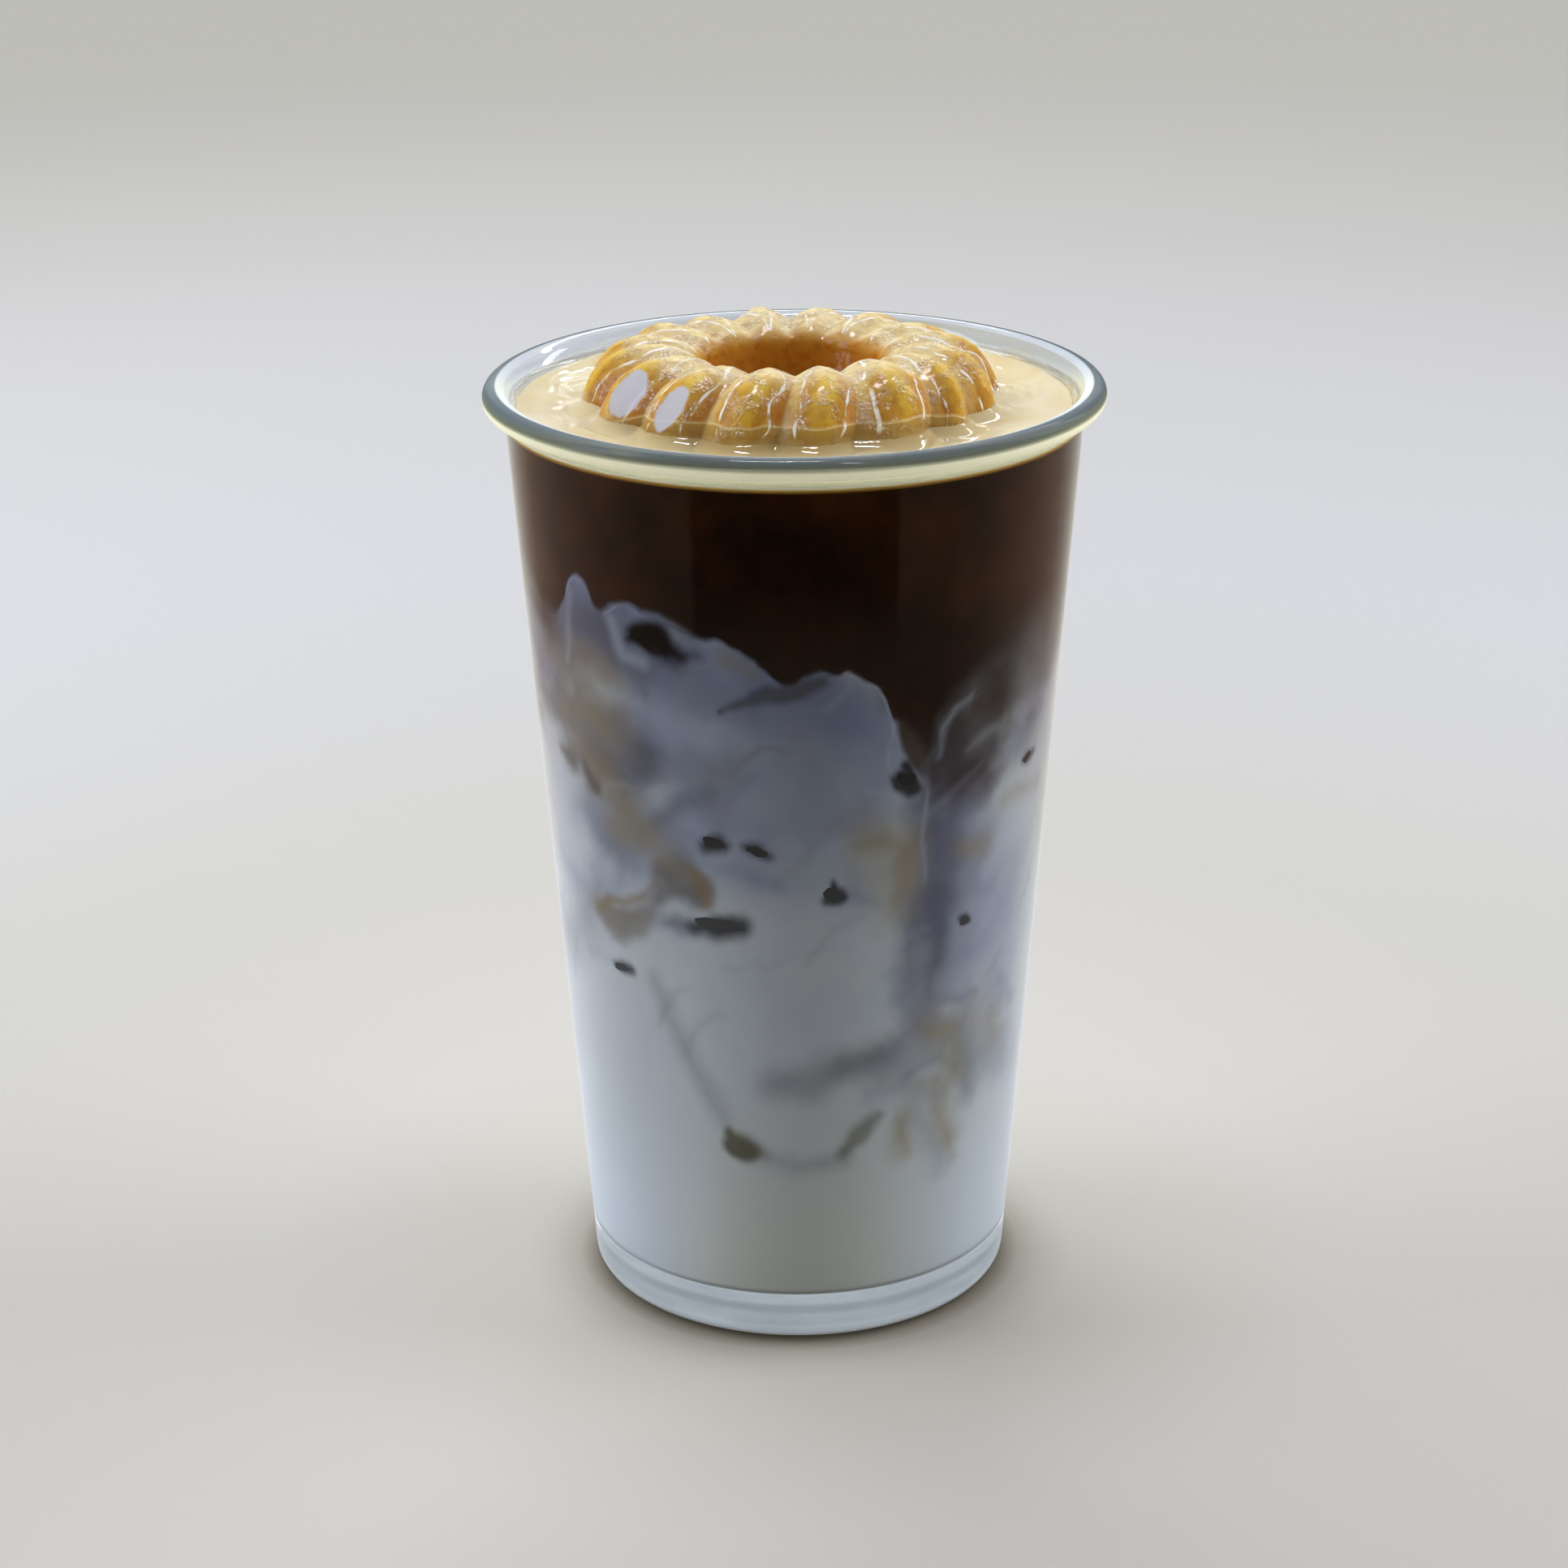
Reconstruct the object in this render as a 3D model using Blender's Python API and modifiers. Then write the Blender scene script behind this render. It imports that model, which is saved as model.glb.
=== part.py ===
"""Glass of iced latte: a tapered tumbler with a rolled rim, filled with milk, coffee and a skin of
coffee cream, with a fluted ring of frozen coffee cream resting in the cream.

Units are metres, +Z is up, and the origin is the middle of the glass's foot. A bearing is an angle
round the glass in degrees: 0 faces the front (-Y) and bearings grow towards +X.
"""

import math
import random

import bmesh
import bpy

MM = 0.001
GAP = 0.3 * MM  # clearance between neighbouring solids

# Glass
GLASS_HEIGHT = 139.6 * MM
RIM_RADIUS = 45.0 * MM  # outside of the rolled rim
BEAD_RADIUS = 1.7 * MM  # outer half of the rolled rim
LIP_HEIGHT = 6.0 * MM  # inner half, a long soft curve down to the wall
NECK_RADIUS = 41.95 * MM  # outer wall just under the rim
NECK_FILLET = 1.2 * MM
BASE_RADIUS = 31.8 * MM  # outer wall where the heel starts
HEEL_RADIUS = 2.9 * MM
WALL_TOP = 2.15 * MM
WALL_BOTTOM = 2.6 * MM
FLOOR_HEIGHT = 6.3 * MM  # inner floor above the table
FLOOR_FILLET = 2.5 * MM
FOOT_WIDTH = 4.0 * MM  # flat ring that the glass stands on
PUNT_HEIGHT = 1.5 * MM  # hollow under the foot
GLASS_STEPS = 64

# Drink
CREAM_LEVEL = 134.95 * MM
CREAM_AT_WALL = 1.15 * MM  # thickness of the cream where it shows at the wall
CREAM_UNDER_RING = 1.1 * MM
DRINK_STEPS = 96
MILK_LEVEL = 101.0 * MM  # mean height of the border between milk and coffee
MILK_LEVEL_MIDDLE = 98.0 * MM

# Where the milk climbs up the wall (+) or the coffee sinks into it (-):
# bearing, height over MILK_LEVEL in mm, and half width in degrees
SWIRLS = (
    (-62, 8.0, 9),
    (-51, 10.5, 6),
    (-36, 12.5, 9),
    (-17, 9.5, 9),
    (10, 7.5, 10),
    (-3, 2.0, 5),
    (27, -11.0, 7),
    (44, -17.5, 12),
    (62, -9.0, 9),
    (100, 6.0, 18),
    (140, -8.0, 16),
    (172, 7.0, 12),
    (205, -5.0, 14),
    (240, 5.0, 16),
)

# Ring
RING_OUTER = 30.5 * MM  # at the cream's surface
RING_CREST = 20.8 * MM  # radius of the highest circle
RING_HEIGHT = 9.2 * MM  # crest above the cream
RING_HOLE_TOP = 13.0 * MM
RING_HOLE_EDGE = 5.0 * MM  # height of the hole's upper edge above the cream
RING_HOLE_FOOT = 10.5 * MM
RING_SINK = 3.0 * MM  # flat foot below the cream's surface
RING_PLACE = (-0.5 * MM, 5.0 * MM)
RING_TILT = 1.5  # degrees, front side up
# Bearings of the grooves on the highest circle; a little uneven, as the ring left its mould
GROOVES = (-20, 2.2, 23.8, 49.5, 67.5, 90, 113, 135.8, 158.4, 181, 203.6, 226.5, 249, 271.5, 294, 318)
FLUTE_SLANT = -6.5  # degrees that a flute leans from the crest to its foot
FLUTE_STEPS = 8  # sides to each flute
FLUTE_DEPTH_FOOT = 2.3 * MM
FLUTE_DEPTH_CREST = 1.4 * MM
FLUTE_ROUNDNESS_FOOT = 0.9  # a smaller value gives a fuller lobe with a tighter groove
FLUTE_ROUNDNESS_CREST = 1.4
FLUTE_UNEVENNESS = 0.035
UNEVENNESS_SEED = 11
CREST_SEGMENTS = 6
SHOULDER_SEGMENTS = 4

NECK_HEIGHT = GLASS_HEIGHT - 2 * BEAD_RADIUS
CREAM_BOTTOM = CREAM_LEVEL - RING_SINK - 3 * GAP - CREAM_UNDER_RING


def between(low, high, share):
    return low + (high - low) * share


def smooth(share):
    share = min(max(share, 0.0), 1.0)
    return share * share * (3 - 2 * share)


def outer_wall(z):
    """Outer radius of the straight wall at height z."""
    return between(BASE_RADIUS, NECK_RADIUS, (z - HEEL_RADIUS) / (NECK_HEIGHT - HEEL_RADIUS))


def inner_wall(z):
    """Inner radius of the straight wall at height z."""
    share = (z - FLOOR_HEIGHT) / (NECK_HEIGHT - FLOOR_HEIGHT)
    return outer_wall(z) - between(WALL_BOTTOM, WALL_TOP, share)


def arc(centre_r, centre_z, radius, start, end, segments):
    """Points (r, z) on an arc, with angles in degrees from the outward direction."""
    points = []
    for i in range(segments + 1):
        angle = math.radians(between(start, end, i / segments))
        points.append((centre_r + radius * math.cos(angle), centre_z + radius * math.sin(angle)))
    return points


def neck_arc():
    """Concave fillet that joins the bead to the wall below it."""
    bead_r = RIM_RADIUS - BEAD_RADIUS
    bead_z = GLASS_HEIGHT - BEAD_RADIUS
    reach = BEAD_RADIUS + NECK_FILLET
    slope = math.atan2(NECK_RADIUS - BASE_RADIUS, NECK_HEIGHT - HEEL_RADIUS)
    z = NECK_HEIGHT
    for _ in range(20):
        r = outer_wall(z) + NECK_FILLET / math.cos(slope)
        z = bead_z - math.sqrt(reach * reach - (r - bead_r) ** 2)
    start = math.degrees(math.atan2(bead_z - z, bead_r - r))
    end = 180 - math.degrees(slope)
    bead_end = start - 180
    return arc(r, z, NECK_FILLET, start, end, 4), bead_end


def lip_curve(bead_r, segments):
    """Inner half of the rim: a quarter of an ellipse from the wall up to the top."""
    lip_z = GLASS_HEIGHT - LIP_HEIGHT
    width = bead_r - inner_wall(lip_z)
    points = []
    for i in range(segments + 1):
        angle = math.radians(90 * i / segments)
        points.append((bead_r - width * math.cos(angle), lip_z + LIP_HEIGHT * math.sin(angle)))
    return points


def glass_profile():
    """Section of the glass, from the middle of the floor over the rim to the middle of the underside."""
    floor_r = inner_wall(FLOOR_HEIGHT + FLOOR_FILLET)
    bead_r = RIM_RADIUS - BEAD_RADIUS
    bead_z = GLASS_HEIGHT - BEAD_RADIUS
    neck, bead_end = neck_arc()
    foot_r = BASE_RADIUS - HEEL_RADIUS
    points = [(0.0, FLOOR_HEIGHT)]
    points += arc(floor_r - FLOOR_FILLET, FLOOR_HEIGHT + FLOOR_FILLET, FLOOR_FILLET, -90, 0, 4)
    points += lip_curve(bead_r, 6)
    points += arc(bead_r, bead_z, BEAD_RADIUS, 68, bead_end, 7)
    points += neck[1:]
    points += arc(foot_r, HEEL_RADIUS, HEEL_RADIUS, 0, -90, 5)
    points.append((foot_r - FOOT_WIDTH, 0.0))
    points.append(((foot_r - FOOT_WIDTH) * 0.8, PUNT_HEIGHT * 0.6))
    points.append((0.0, PUNT_HEIGHT))
    return points


def paint(obj, colour, roughness, metallic=0.0, transmission=0.0):
    """Give the object a material of its own."""
    material = bpy.data.materials.new(obj.name)
    material.use_nodes = True
    shader = material.node_tree.nodes["Principled BSDF"]
    shader.inputs["Base Color"].default_value = (*colour, 1.0)
    shader.inputs["Roughness"].default_value = roughness
    shader.inputs["Metallic"].default_value = metallic
    shader.inputs["Transmission Weight"].default_value = transmission
    obj.data.materials.append(material)
    obj.data.shade_smooth()


def mesh_object(name, bm, collection):
    bmesh.ops.recalc_face_normals(bm, faces=bm.faces)
    mesh = bpy.data.meshes.new(name)
    bm.to_mesh(mesh)
    bm.free()
    obj = bpy.data.objects.new(name, mesh)
    collection.objects.link(obj)
    return obj


def turned(name, profile, steps, collection):
    """A body of revolution from a section that starts and ends on the axis."""
    bm = bmesh.new()
    verts = [bm.verts.new((r, 0.0, z)) for r, z in profile]
    for a, b in zip(verts, verts[1:]):
        bm.edges.new((a, b))
    mesh = bpy.data.meshes.new(name)
    bm.to_mesh(mesh)
    bm.free()
    obj = bpy.data.objects.new(name, mesh)
    collection.objects.link(obj)
    screw = obj.modifiers.new("Turn", "SCREW")
    screw.steps = steps
    screw.render_steps = steps
    screw.use_merge_vertices = True
    screw.merge_threshold = 0.00001
    return obj


def swirl_height(bearing):
    """Height of the border between milk and coffee at the wall."""
    z = MILK_LEVEL
    for at, rise, width in SWIRLS:
        away = (bearing - at + 180) % 360 - 180
        z += rise * MM * math.exp(-((away / width) ** 2))
    return z


def border(bearing, lift):
    """Border of milk and coffee from the middle to the wall, as (r, z), raised by lift."""
    wall_z = swirl_height(bearing) + lift
    wall_r = inner_wall(wall_z) - GAP
    points = []
    for share in (0.0, 0.35, 0.62, 0.82, 0.93, 1.0):
        z = between(MILK_LEVEL_MIDDLE + lift, wall_z, smooth(share) ** 1.5)
        points.append((wall_r * share, z))
    return points


def floor_line(bearing):
    """Underside of the milk, which follows the floor of the glass."""
    z = FLOOR_HEIGHT + GAP
    wall_r = inner_wall(z + FLOOR_FILLET) - GAP
    points = [(0.0, z), ((wall_r - FLOOR_FILLET) * 0.6, z)]
    return points + arc(wall_r - FLOOR_FILLET, z + FLOOR_FILLET, FLOOR_FILLET, -90, 0, 3)


def cream_underside(bearing, drop):
    """Underside of the cream: thin at the wall and deeper under the ring."""
    deep = CREAM_BOTTOM - drop
    shallow = CREAM_LEVEL - CREAM_AT_WALL - drop
    wall_r = inner_wall(shallow) - GAP
    ring_edge = RING_OUTER + abs(RING_PLACE[1]) + 3 * GAP
    return [
        (0.0, deep),
        (ring_edge * 0.5, deep),
        (ring_edge, deep),
        (between(ring_edge, wall_r, 0.5), between(deep, shallow, 0.7)),
        (wall_r, shallow),
    ]


def cream_top(bearing):
    wall_r = inner_wall(CREAM_LEVEL) - GAP
    return [(wall_r * share, CREAM_LEVEL) for share in (0.0, 0.25, 0.5, 0.75, 0.92, 1.0)]


def drink_layer(name, lower, upper, collection):
    """A layer of drink that fills the glass between two surfaces, each given as a line for a bearing."""
    bm = bmesh.new()
    sheets = []
    for line in (lower, upper):
        middle = bm.verts.new((0.0, 0.0, line(0)[0][1]))
        rings = []
        for i in range(len(line(0)) - 1):
            ring = []
            for step in range(DRINK_STEPS):
                bearing = step * 360 / DRINK_STEPS
                r, z = line(bearing)[i + 1]
                angle = math.radians(bearing - 90)
                ring.append(bm.verts.new((r * math.cos(angle), r * math.sin(angle), z)))
            rings.append(ring)
        sheets.append((middle, rings))
    for step in range(DRINK_STEPS):
        after = (step + 1) % DRINK_STEPS
        for middle, rings in sheets:
            bm.faces.new((middle, rings[0][step], rings[0][after]))
            for inner, outer in zip(rings, rings[1:]):
                bm.faces.new((inner[step], outer[step], outer[after], inner[after]))
        low = sheets[0][1][-1]
        high = sheets[1][1][-1]
        bm.faces.new((low[step], low[after], high[after], high[step]))
    return mesh_object(name, bm, collection)


def ring_section(grow):
    """Section of the ring from its foot outside over the crest to the hole, as (r, z, flute depth, lowness),
    where lowness is 1 at the foot and 0 from the crest inwards."""
    points = [(RING_OUTER + grow, -RING_SINK - grow, FLUTE_DEPTH_FOOT, 1.0)]
    for i in range(CREST_SEGMENTS + 1):
        share = i / CREST_SEGMENTS
        angle = math.radians(90 * share)
        r = RING_CREST + (RING_OUTER + grow - RING_CREST) * math.cos(angle) ** 0.95
        z = (RING_HEIGHT + grow) * math.sin(angle)
        points.append((r, z, between(FLUTE_DEPTH_FOOT, FLUTE_DEPTH_CREST, share), 1 - share))
    for i in range(1, SHOULDER_SEGMENTS + 1):
        share = i / SHOULDER_SEGMENTS
        angle = math.radians(90 * share)
        r = RING_CREST - (RING_CREST - RING_HOLE_TOP + grow) * math.sin(angle)
        z = between(RING_HOLE_EDGE, RING_HEIGHT + grow, math.cos(angle))
        points.append((r, z, FLUTE_DEPTH_CREST * (1 - smooth(share)), 0.0))
    points.append((RING_HOLE_FOOT - grow, -RING_SINK - grow, 0.0, 0.0))
    return points


def fluted_ring(name, grow, collection):
    """The ring, or with grow over zero the slightly larger hollow that it lies in."""
    draw = random.Random(UNEVENNESS_SEED)
    flutes = len(GROOVES)
    fullness = [1 + FLUTE_UNEVENNESS * draw.uniform(-1, 1) for _ in range(flutes)]
    section = ring_section(grow)
    foot = -RING_SINK - grow
    bm = bmesh.new()
    rows = []
    for step in range(flutes * FLUTE_STEPS):
        flute, across = divmod(step, FLUTE_STEPS)
        across /= FLUTE_STEPS
        next_groove = GROOVES[(flute + 1) % flutes]
        if next_groove < GROOVES[flute]:
            next_groove += 360
        bearing = between(GROOVES[flute], next_groove, across)
        row = []
        for r, z, depth, low in section:
            roundness = between(FLUTE_ROUNDNESS_CREST, FLUTE_ROUNDNESS_FOOT, low)
            lobe = math.sin(math.pi * across) ** roundness
            full = between(1.0, fullness[flute], lobe)
            angle = math.radians(bearing + FLUTE_SLANT * low - 90)
            cut = depth * (1 - lobe)
            # a groove cuts inwards on the flank and downwards on the crest
            steep = min(max((r - RING_CREST) / (RING_OUTER - RING_CREST), 0.0), 1.0)
            high = max(z / RING_HEIGHT, 0.0)
            r_cut = r - cut * steep
            z_cut = z if z <= foot else max(z * full - cut * high, foot + GAP)
            row.append(bm.verts.new((r_cut * math.cos(angle), r_cut * math.sin(angle), z_cut)))
        rows.append(row)
    for row, after in zip(rows, rows[1:] + rows[:1]):
        for i in range(len(section)):
            j = (i + 1) % len(section)
            bm.faces.new((row[i], after[i], after[j], row[j]))
    obj = mesh_object(name, bm, collection)
    obj.location = (*RING_PLACE, CREAM_LEVEL)
    obj.rotation_euler = (math.radians(-RING_TILT), 0.0, 0.0)
    return obj


def main():
    for old in list(bpy.data.objects):
        bpy.data.objects.remove(old, do_unlink=True)
    scene = bpy.context.scene.collection
    parts = bpy.data.collections.new("glass_of_iced_latte")
    cutters = bpy.data.collections.new("cutters")
    scene.children.link(parts)
    scene.children.link(cutters)

    glass = turned("glass", glass_profile(), GLASS_STEPS, parts)
    paint(glass, (0.86, 0.93, 0.93), 0.03, transmission=1.0)

    milk = drink_layer("milk", floor_line, lambda bearing: border(bearing, 0.0), parts)
    paint(milk, (0.56, 0.58, 0.64), 0.25)

    coffee = drink_layer(
        "coffee",
        lambda bearing: border(bearing, GAP),
        lambda bearing: cream_underside(bearing, GAP),
        parts,
    )
    paint(coffee, (0.03, 0.012, 0.006), 0.15)

    ring = fluted_ring("ring", 0.0, parts)
    paint(ring, (0.55, 0.32, 0.07), 0.22)

    cream = drink_layer("cream", lambda bearing: cream_underside(bearing, 0.0), cream_top, parts)
    paint(cream, (0.76, 0.63, 0.36), 0.15)
    hollow = fluted_ring("ring_hollow", GAP, cutters)
    hollow.hide_render = True
    hollow.display_type = "WIRE"
    cut = cream.modifiers.new("Ring hollow", "BOOLEAN")
    cut.operation = "DIFFERENCE"
    cut.solver = "EXACT"
    cut.object = hollow


main()
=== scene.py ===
# Glass of iced latte: the looks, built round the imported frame
import math
import random

import bmesh
import bpy
import numpy as np
from mathutils import Matrix, Vector, noise


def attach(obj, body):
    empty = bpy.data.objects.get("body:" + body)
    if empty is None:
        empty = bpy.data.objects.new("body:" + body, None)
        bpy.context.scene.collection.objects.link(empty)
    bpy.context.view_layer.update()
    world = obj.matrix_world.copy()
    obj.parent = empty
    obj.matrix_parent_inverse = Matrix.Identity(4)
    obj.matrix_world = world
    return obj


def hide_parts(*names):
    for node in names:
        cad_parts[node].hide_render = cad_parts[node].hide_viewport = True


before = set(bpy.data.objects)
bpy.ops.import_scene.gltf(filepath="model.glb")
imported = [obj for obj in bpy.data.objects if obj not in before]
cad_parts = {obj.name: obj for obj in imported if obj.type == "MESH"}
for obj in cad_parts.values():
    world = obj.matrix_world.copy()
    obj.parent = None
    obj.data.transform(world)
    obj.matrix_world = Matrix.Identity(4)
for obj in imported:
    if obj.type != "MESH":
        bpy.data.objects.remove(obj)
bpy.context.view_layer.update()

mm = 0.001
print("frame loaded:", sorted(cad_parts))


# Helpers

def linear(hexCode, alpha=1.0):
    # sRGB hex to the linear colour that the nodes work in
    parts = [int(hexCode[i:i + 2], 16) / 255 for i in (0, 2, 4)]
    return tuple(c / 12.92 if c <= 0.04045 else ((c + 0.055) / 1.055) ** 2.4 for c in parts) + (alpha,)


def addNode(tree, kind, settings=None, inputs=None):
    # one node with its settings, and its inputs as values or as the sockets that feed them
    node = tree.nodes.new("ShaderNode" + kind)
    for name, value in (settings or {}).items():
        if name == "stops":
            band = node.color_ramp
            while len(band.elements) < len(value):
                band.elements.new(0.5)
            for element, (place, hexCode) in zip(band.elements, value):
                element.position = place
                element.color = linear(hexCode)
        else:
            setattr(node, name, value)
    for name, value in (inputs or {}).items():
        if isinstance(value, bpy.types.NodeSocket):
            tree.links.new(value, node.inputs[name])
        else:
            node.inputs[name].default_value = value
    return node


def calc(tree, operation, *values, clamp=False):
    # one step of arithmetic
    settings = {"operation": operation, "use_clamp": clamp}
    return addNode(tree, "Math", settings, dict(enumerate(values))).outputs[0]


def spread(tree, value, start, end, low=0.0, high=1.0, smooth=False):
    # low where the value is at start, high where it is at end, and in between what lies between
    kind = {"interpolation_type": "SMOOTHSTEP"} if smooth else {}
    return addNode(tree, "MapRange", kind, {"Value": value, 1: start, 2: end, 3: low, 4: high}).outputs[0]


def ramp(tree, value, stops):
    # the colour between stops of (value, hex)
    return addNode(tree, "ValToRGB", {"stops": stops}, {"Fac": value}).outputs["Color"]


def mix(tree, amount, first, second, kind="MIX"):
    # the second colour over the first one
    return addNode(tree, "Mix", {"data_type": "RGBA", "blend_type": kind},
                   {"Factor": amount, 6: first, 7: second}).outputs[2]


def speckle(tree, place, size, detail, distortion=0.0):
    # noise with lumps of a size in mm
    return addNode(tree, "TexNoise", {}, {
        "Vector": place, "Scale": 1 / (size * mm), "Detail": detail, "Distortion": distortion,
    }).outputs["Fac"]


def pointValue(tree, name):
    # a value that the points of the piece carry
    return addNode(tree, "Attribute", {"attribute_name": name}).outputs["Fac"]


def newMaterial(name):
    # an empty node tree with its output
    material = bpy.data.materials.new(name)
    material.use_nodes = True
    tree = material.node_tree
    tree.nodes.clear()
    return material, tree, tree.nodes.new("ShaderNodeOutputMaterial")


def finishMaterial(material, tree, output, inputs):
    # the one shader of a plain material
    shader = addNode(tree, "BsdfPrincipled", {}, inputs)
    tree.links.new(shader.outputs[0], output.inputs["Surface"])
    return material


def meshPiece(name, points, faces, materials, faceSlots=None):
    # a smooth piece from points in metres
    mesh = bpy.data.meshes.new(name)
    mesh.from_pydata([tuple(p) for p in points], [], faces)
    for material in materials:
        mesh.materials.append(material)
    if faceSlots is not None:
        mesh.polygons.foreach_set("material_index", faceSlots)
    bm = bmesh.new()
    bm.from_mesh(mesh)
    if bm.calc_volume(signed=True) < 0:
        print(name, "turned inside out")
        bmesh.ops.reverse_faces(bm, faces=bm.faces)
        bm.to_mesh(mesh)
    bm.free()
    mesh.update()
    mesh.shade_smooth()
    piece = bpy.data.objects.new(name, mesh)
    bpy.context.scene.collection.objects.link(piece)
    return piece


def closedRows(rowCount, columns):
    # faces between rows of points that each run once round, row after row
    faces = []
    for row in range(rowCount - 1):
        for step in range(columns):
            after = (step + 1) % columns
            faces.append((row * columns + step, row * columns + after,
                          (row + 1) * columns + after, (row + 1) * columns + step))
    return faces


def capFan(firstPoint, columns, middle, upwards):
    # triangles that close a row of points to the point in its middle
    fan = []
    for step in range(columns):
        after = (step + 1) % columns
        edge = (firstPoint + step, firstPoint + after)
        fan.append((*edge, middle) if upwards else (*reversed(edge), middle))
    return fan


def cappedPiece(name, rows, bottom, top, materials, slots=None):
    # a closed piece from rows of points in metres, and the heights in mm of the two middles that close it
    steps = len(rows[0])
    points = [p for row in rows for p in row] + [(0, 0, bottom * mm), (0, 0, top * mm)]
    faces = closedRows(len(rows), steps)
    faces += capFan(0, steps, len(points) - 2, False)
    faces += capFan((len(rows) - 1) * steps, steps, len(points) - 1, True)
    print(name + ":", len(faces), "faces")
    return meshPiece(name, points, faces, materials, slots)


def setPointValues(piece, name, values):
    attribute = piece.data.attributes.new(name, "FLOAT", "POINT")
    attribute.data.foreach_set("value", np.ascontiguousarray(values, np.float32))


def easeBetween(low, high, share):
    # from low to high in a soft S as the share grows from 0 to 1
    share = np.clip(share, 0.0, 1.0)
    return low + (high - low) * share * share * (3 - 2 * share)


def arcPoints(centreR, centreZ, radius, start, end, segments):
    # points (r, z) on an arc, with angles in degrees from the outward direction
    angles = [math.radians(start + (end - start) * i / segments) for i in range(segments + 1)]
    return [(centreR + radius * math.cos(a), centreZ + radius * math.sin(a)) for a in angles]


# Camera

cameraSetup = {
    "place": (0.0, -513.563, 269.157),  # mm
    "pitchDown": 20.503,  # degrees
    "turnLeft": 0.212,
    "roll": -0.417,
    "focalLength": 83.85, "sensorWidth": 36,  # mm
    "nearest": 0.01, "farthest": 50,  # m
}


def buildCamera(setup):
    data = bpy.data.cameras.new("viewCamera")
    data.sensor_width = setup["sensorWidth"]
    data.lens = setup["focalLength"]
    data.clip_start = setup["nearest"]
    data.clip_end = setup["farthest"]
    camera = bpy.data.objects.new("viewCamera", data)
    bpy.context.scene.collection.objects.link(camera)
    camera.matrix_world = (
        Matrix.Translation(Vector(setup["place"]) * mm)
        @ Matrix.Rotation(math.radians(setup["turnLeft"]), 4, "Z")
        @ Matrix.Rotation(math.radians(90 - setup["pitchDown"]), 4, "X")
        @ Matrix.Rotation(math.radians(setup["roll"]), 4, "Z")
    )
    bpy.context.scene.camera = camera


# Glass

# all in mm where nothing else is said
glassShape = {
    "height": 139.6, "rimRadius": 45.0, "beadRadius": 1.7, "lipHeight": 6.0,
    "neckRadius": 41.95, "neckHeight": 136.2, "neckFillet": 1.2,
    "baseRadius": 31.8, "heelRadius": 2.9,
    "wallTop": 2.15, "wallBottom": 2.6, "floorHeight": 6.3, "floorFillet": 2.5,
    "footWidth": 4.0, "puntHeight": 1.5,
    "innerRows": range(20, 133, 7), "outerRows": range(130, 10, -10),  # heights of the rows along the wall
    "steps": 288,  # points round
    "rimPaintCover": 0.92,  # how much of the clear skin the painted light and shade hide on the bead and the neck
    "neckGlow": 0.25,  # painted glow: light that the rim gathers, given out again at the front of the neck
    "inside": 41.85,  # within this radius the top of the glass is its inner wall
    "crest": (43.25, 42.8), "crestPaintedHighlight": "E4E9EF",  # radii between which the bead's top carries a painted highlight
    # the moulded foot gathers light and shade in rings over its lowest 10 mm
    "footRings": [(0.0, "8A8076"), (0.10, "8E847A"), (0.16, "C4C8CC"), (0.25, "F2F4F4"), (0.30, "D4D8DC"),
                  (0.45, "D0D4DA"), (0.53, "9CA0A6"), (0.60, "A8ACB4"), (0.66, "F4F6F6"), (0.80, "F4F6F6"),
                  (0.85, "8E9498"), (0.90, "FFFFFF")],
    # the film inside over 5 mm above the cream, and over it a thin cover of painted light up to the rim: its
    # colour, its colour on the right, and how far it covers
    "filmAndPaintedLight": [(0.0, "F2E8C0"), (0.24, "F0E6BC"), (0.30, "D2CDB2"), (0.46, "CFCDBA"),
                  (0.50, "E8E2C8"), (0.56, "E4E5EE")],
    "filmRight": "CEBE80",
    "filmAndPaintedLightCover": [(0.0, "F8F8F8"), (0.24, "F0F0F0"), (0.30, "B4B4B4"), (0.46, "989898"),
                  (0.50, "B4B4B4"), (0.56, "8C8C8C")],
    # painted light and shade on the neck and the bead outside, from 0.6 to 4.9 mm above the cream, in front
    # and behind: pale under the bead, and dark on the bead as a painted reflection of the dark room in front
    "rimPaintedTones": [(0.0, "FFFCD8"), (0.50, "FBF8D4"), (0.59, "9CA084"), (0.66, "666C5E"),
                 (0.86, "5C6568"), (0.94, "687276")],
    "rimPaintedTonesBehind": [(0.50, "E2E6F0"), (0.66, "5C6568")],
}


def outerWall(z):
    # outer radius in mm of the straight wall at height z
    shape = glassShape
    share = (z - shape["heelRadius"]) / (shape["neckHeight"] - shape["heelRadius"])
    return shape["baseRadius"] + (shape["neckRadius"] - shape["baseRadius"]) * share


def innerWall(z):
    shape = glassShape
    share = (z - shape["floorHeight"]) / (shape["neckHeight"] - shape["floorHeight"])
    return outerWall(z) - shape["wallBottom"] - (shape["wallTop"] - shape["wallBottom"]) * share


def insideRadius(z):
    # like innerWall, but following the soft inner curve of the rim near the top
    shape = glassShape
    lipZ = shape["height"] - shape["lipHeight"]
    if z <= lipZ:
        return innerWall(z)
    beadR = shape["rimRadius"] - shape["beadRadius"]
    up = min((z - lipZ) / shape["lipHeight"], 1.0)
    return beadR - (beadR - innerWall(lipZ)) * math.sqrt(1 - up * up)


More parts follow.
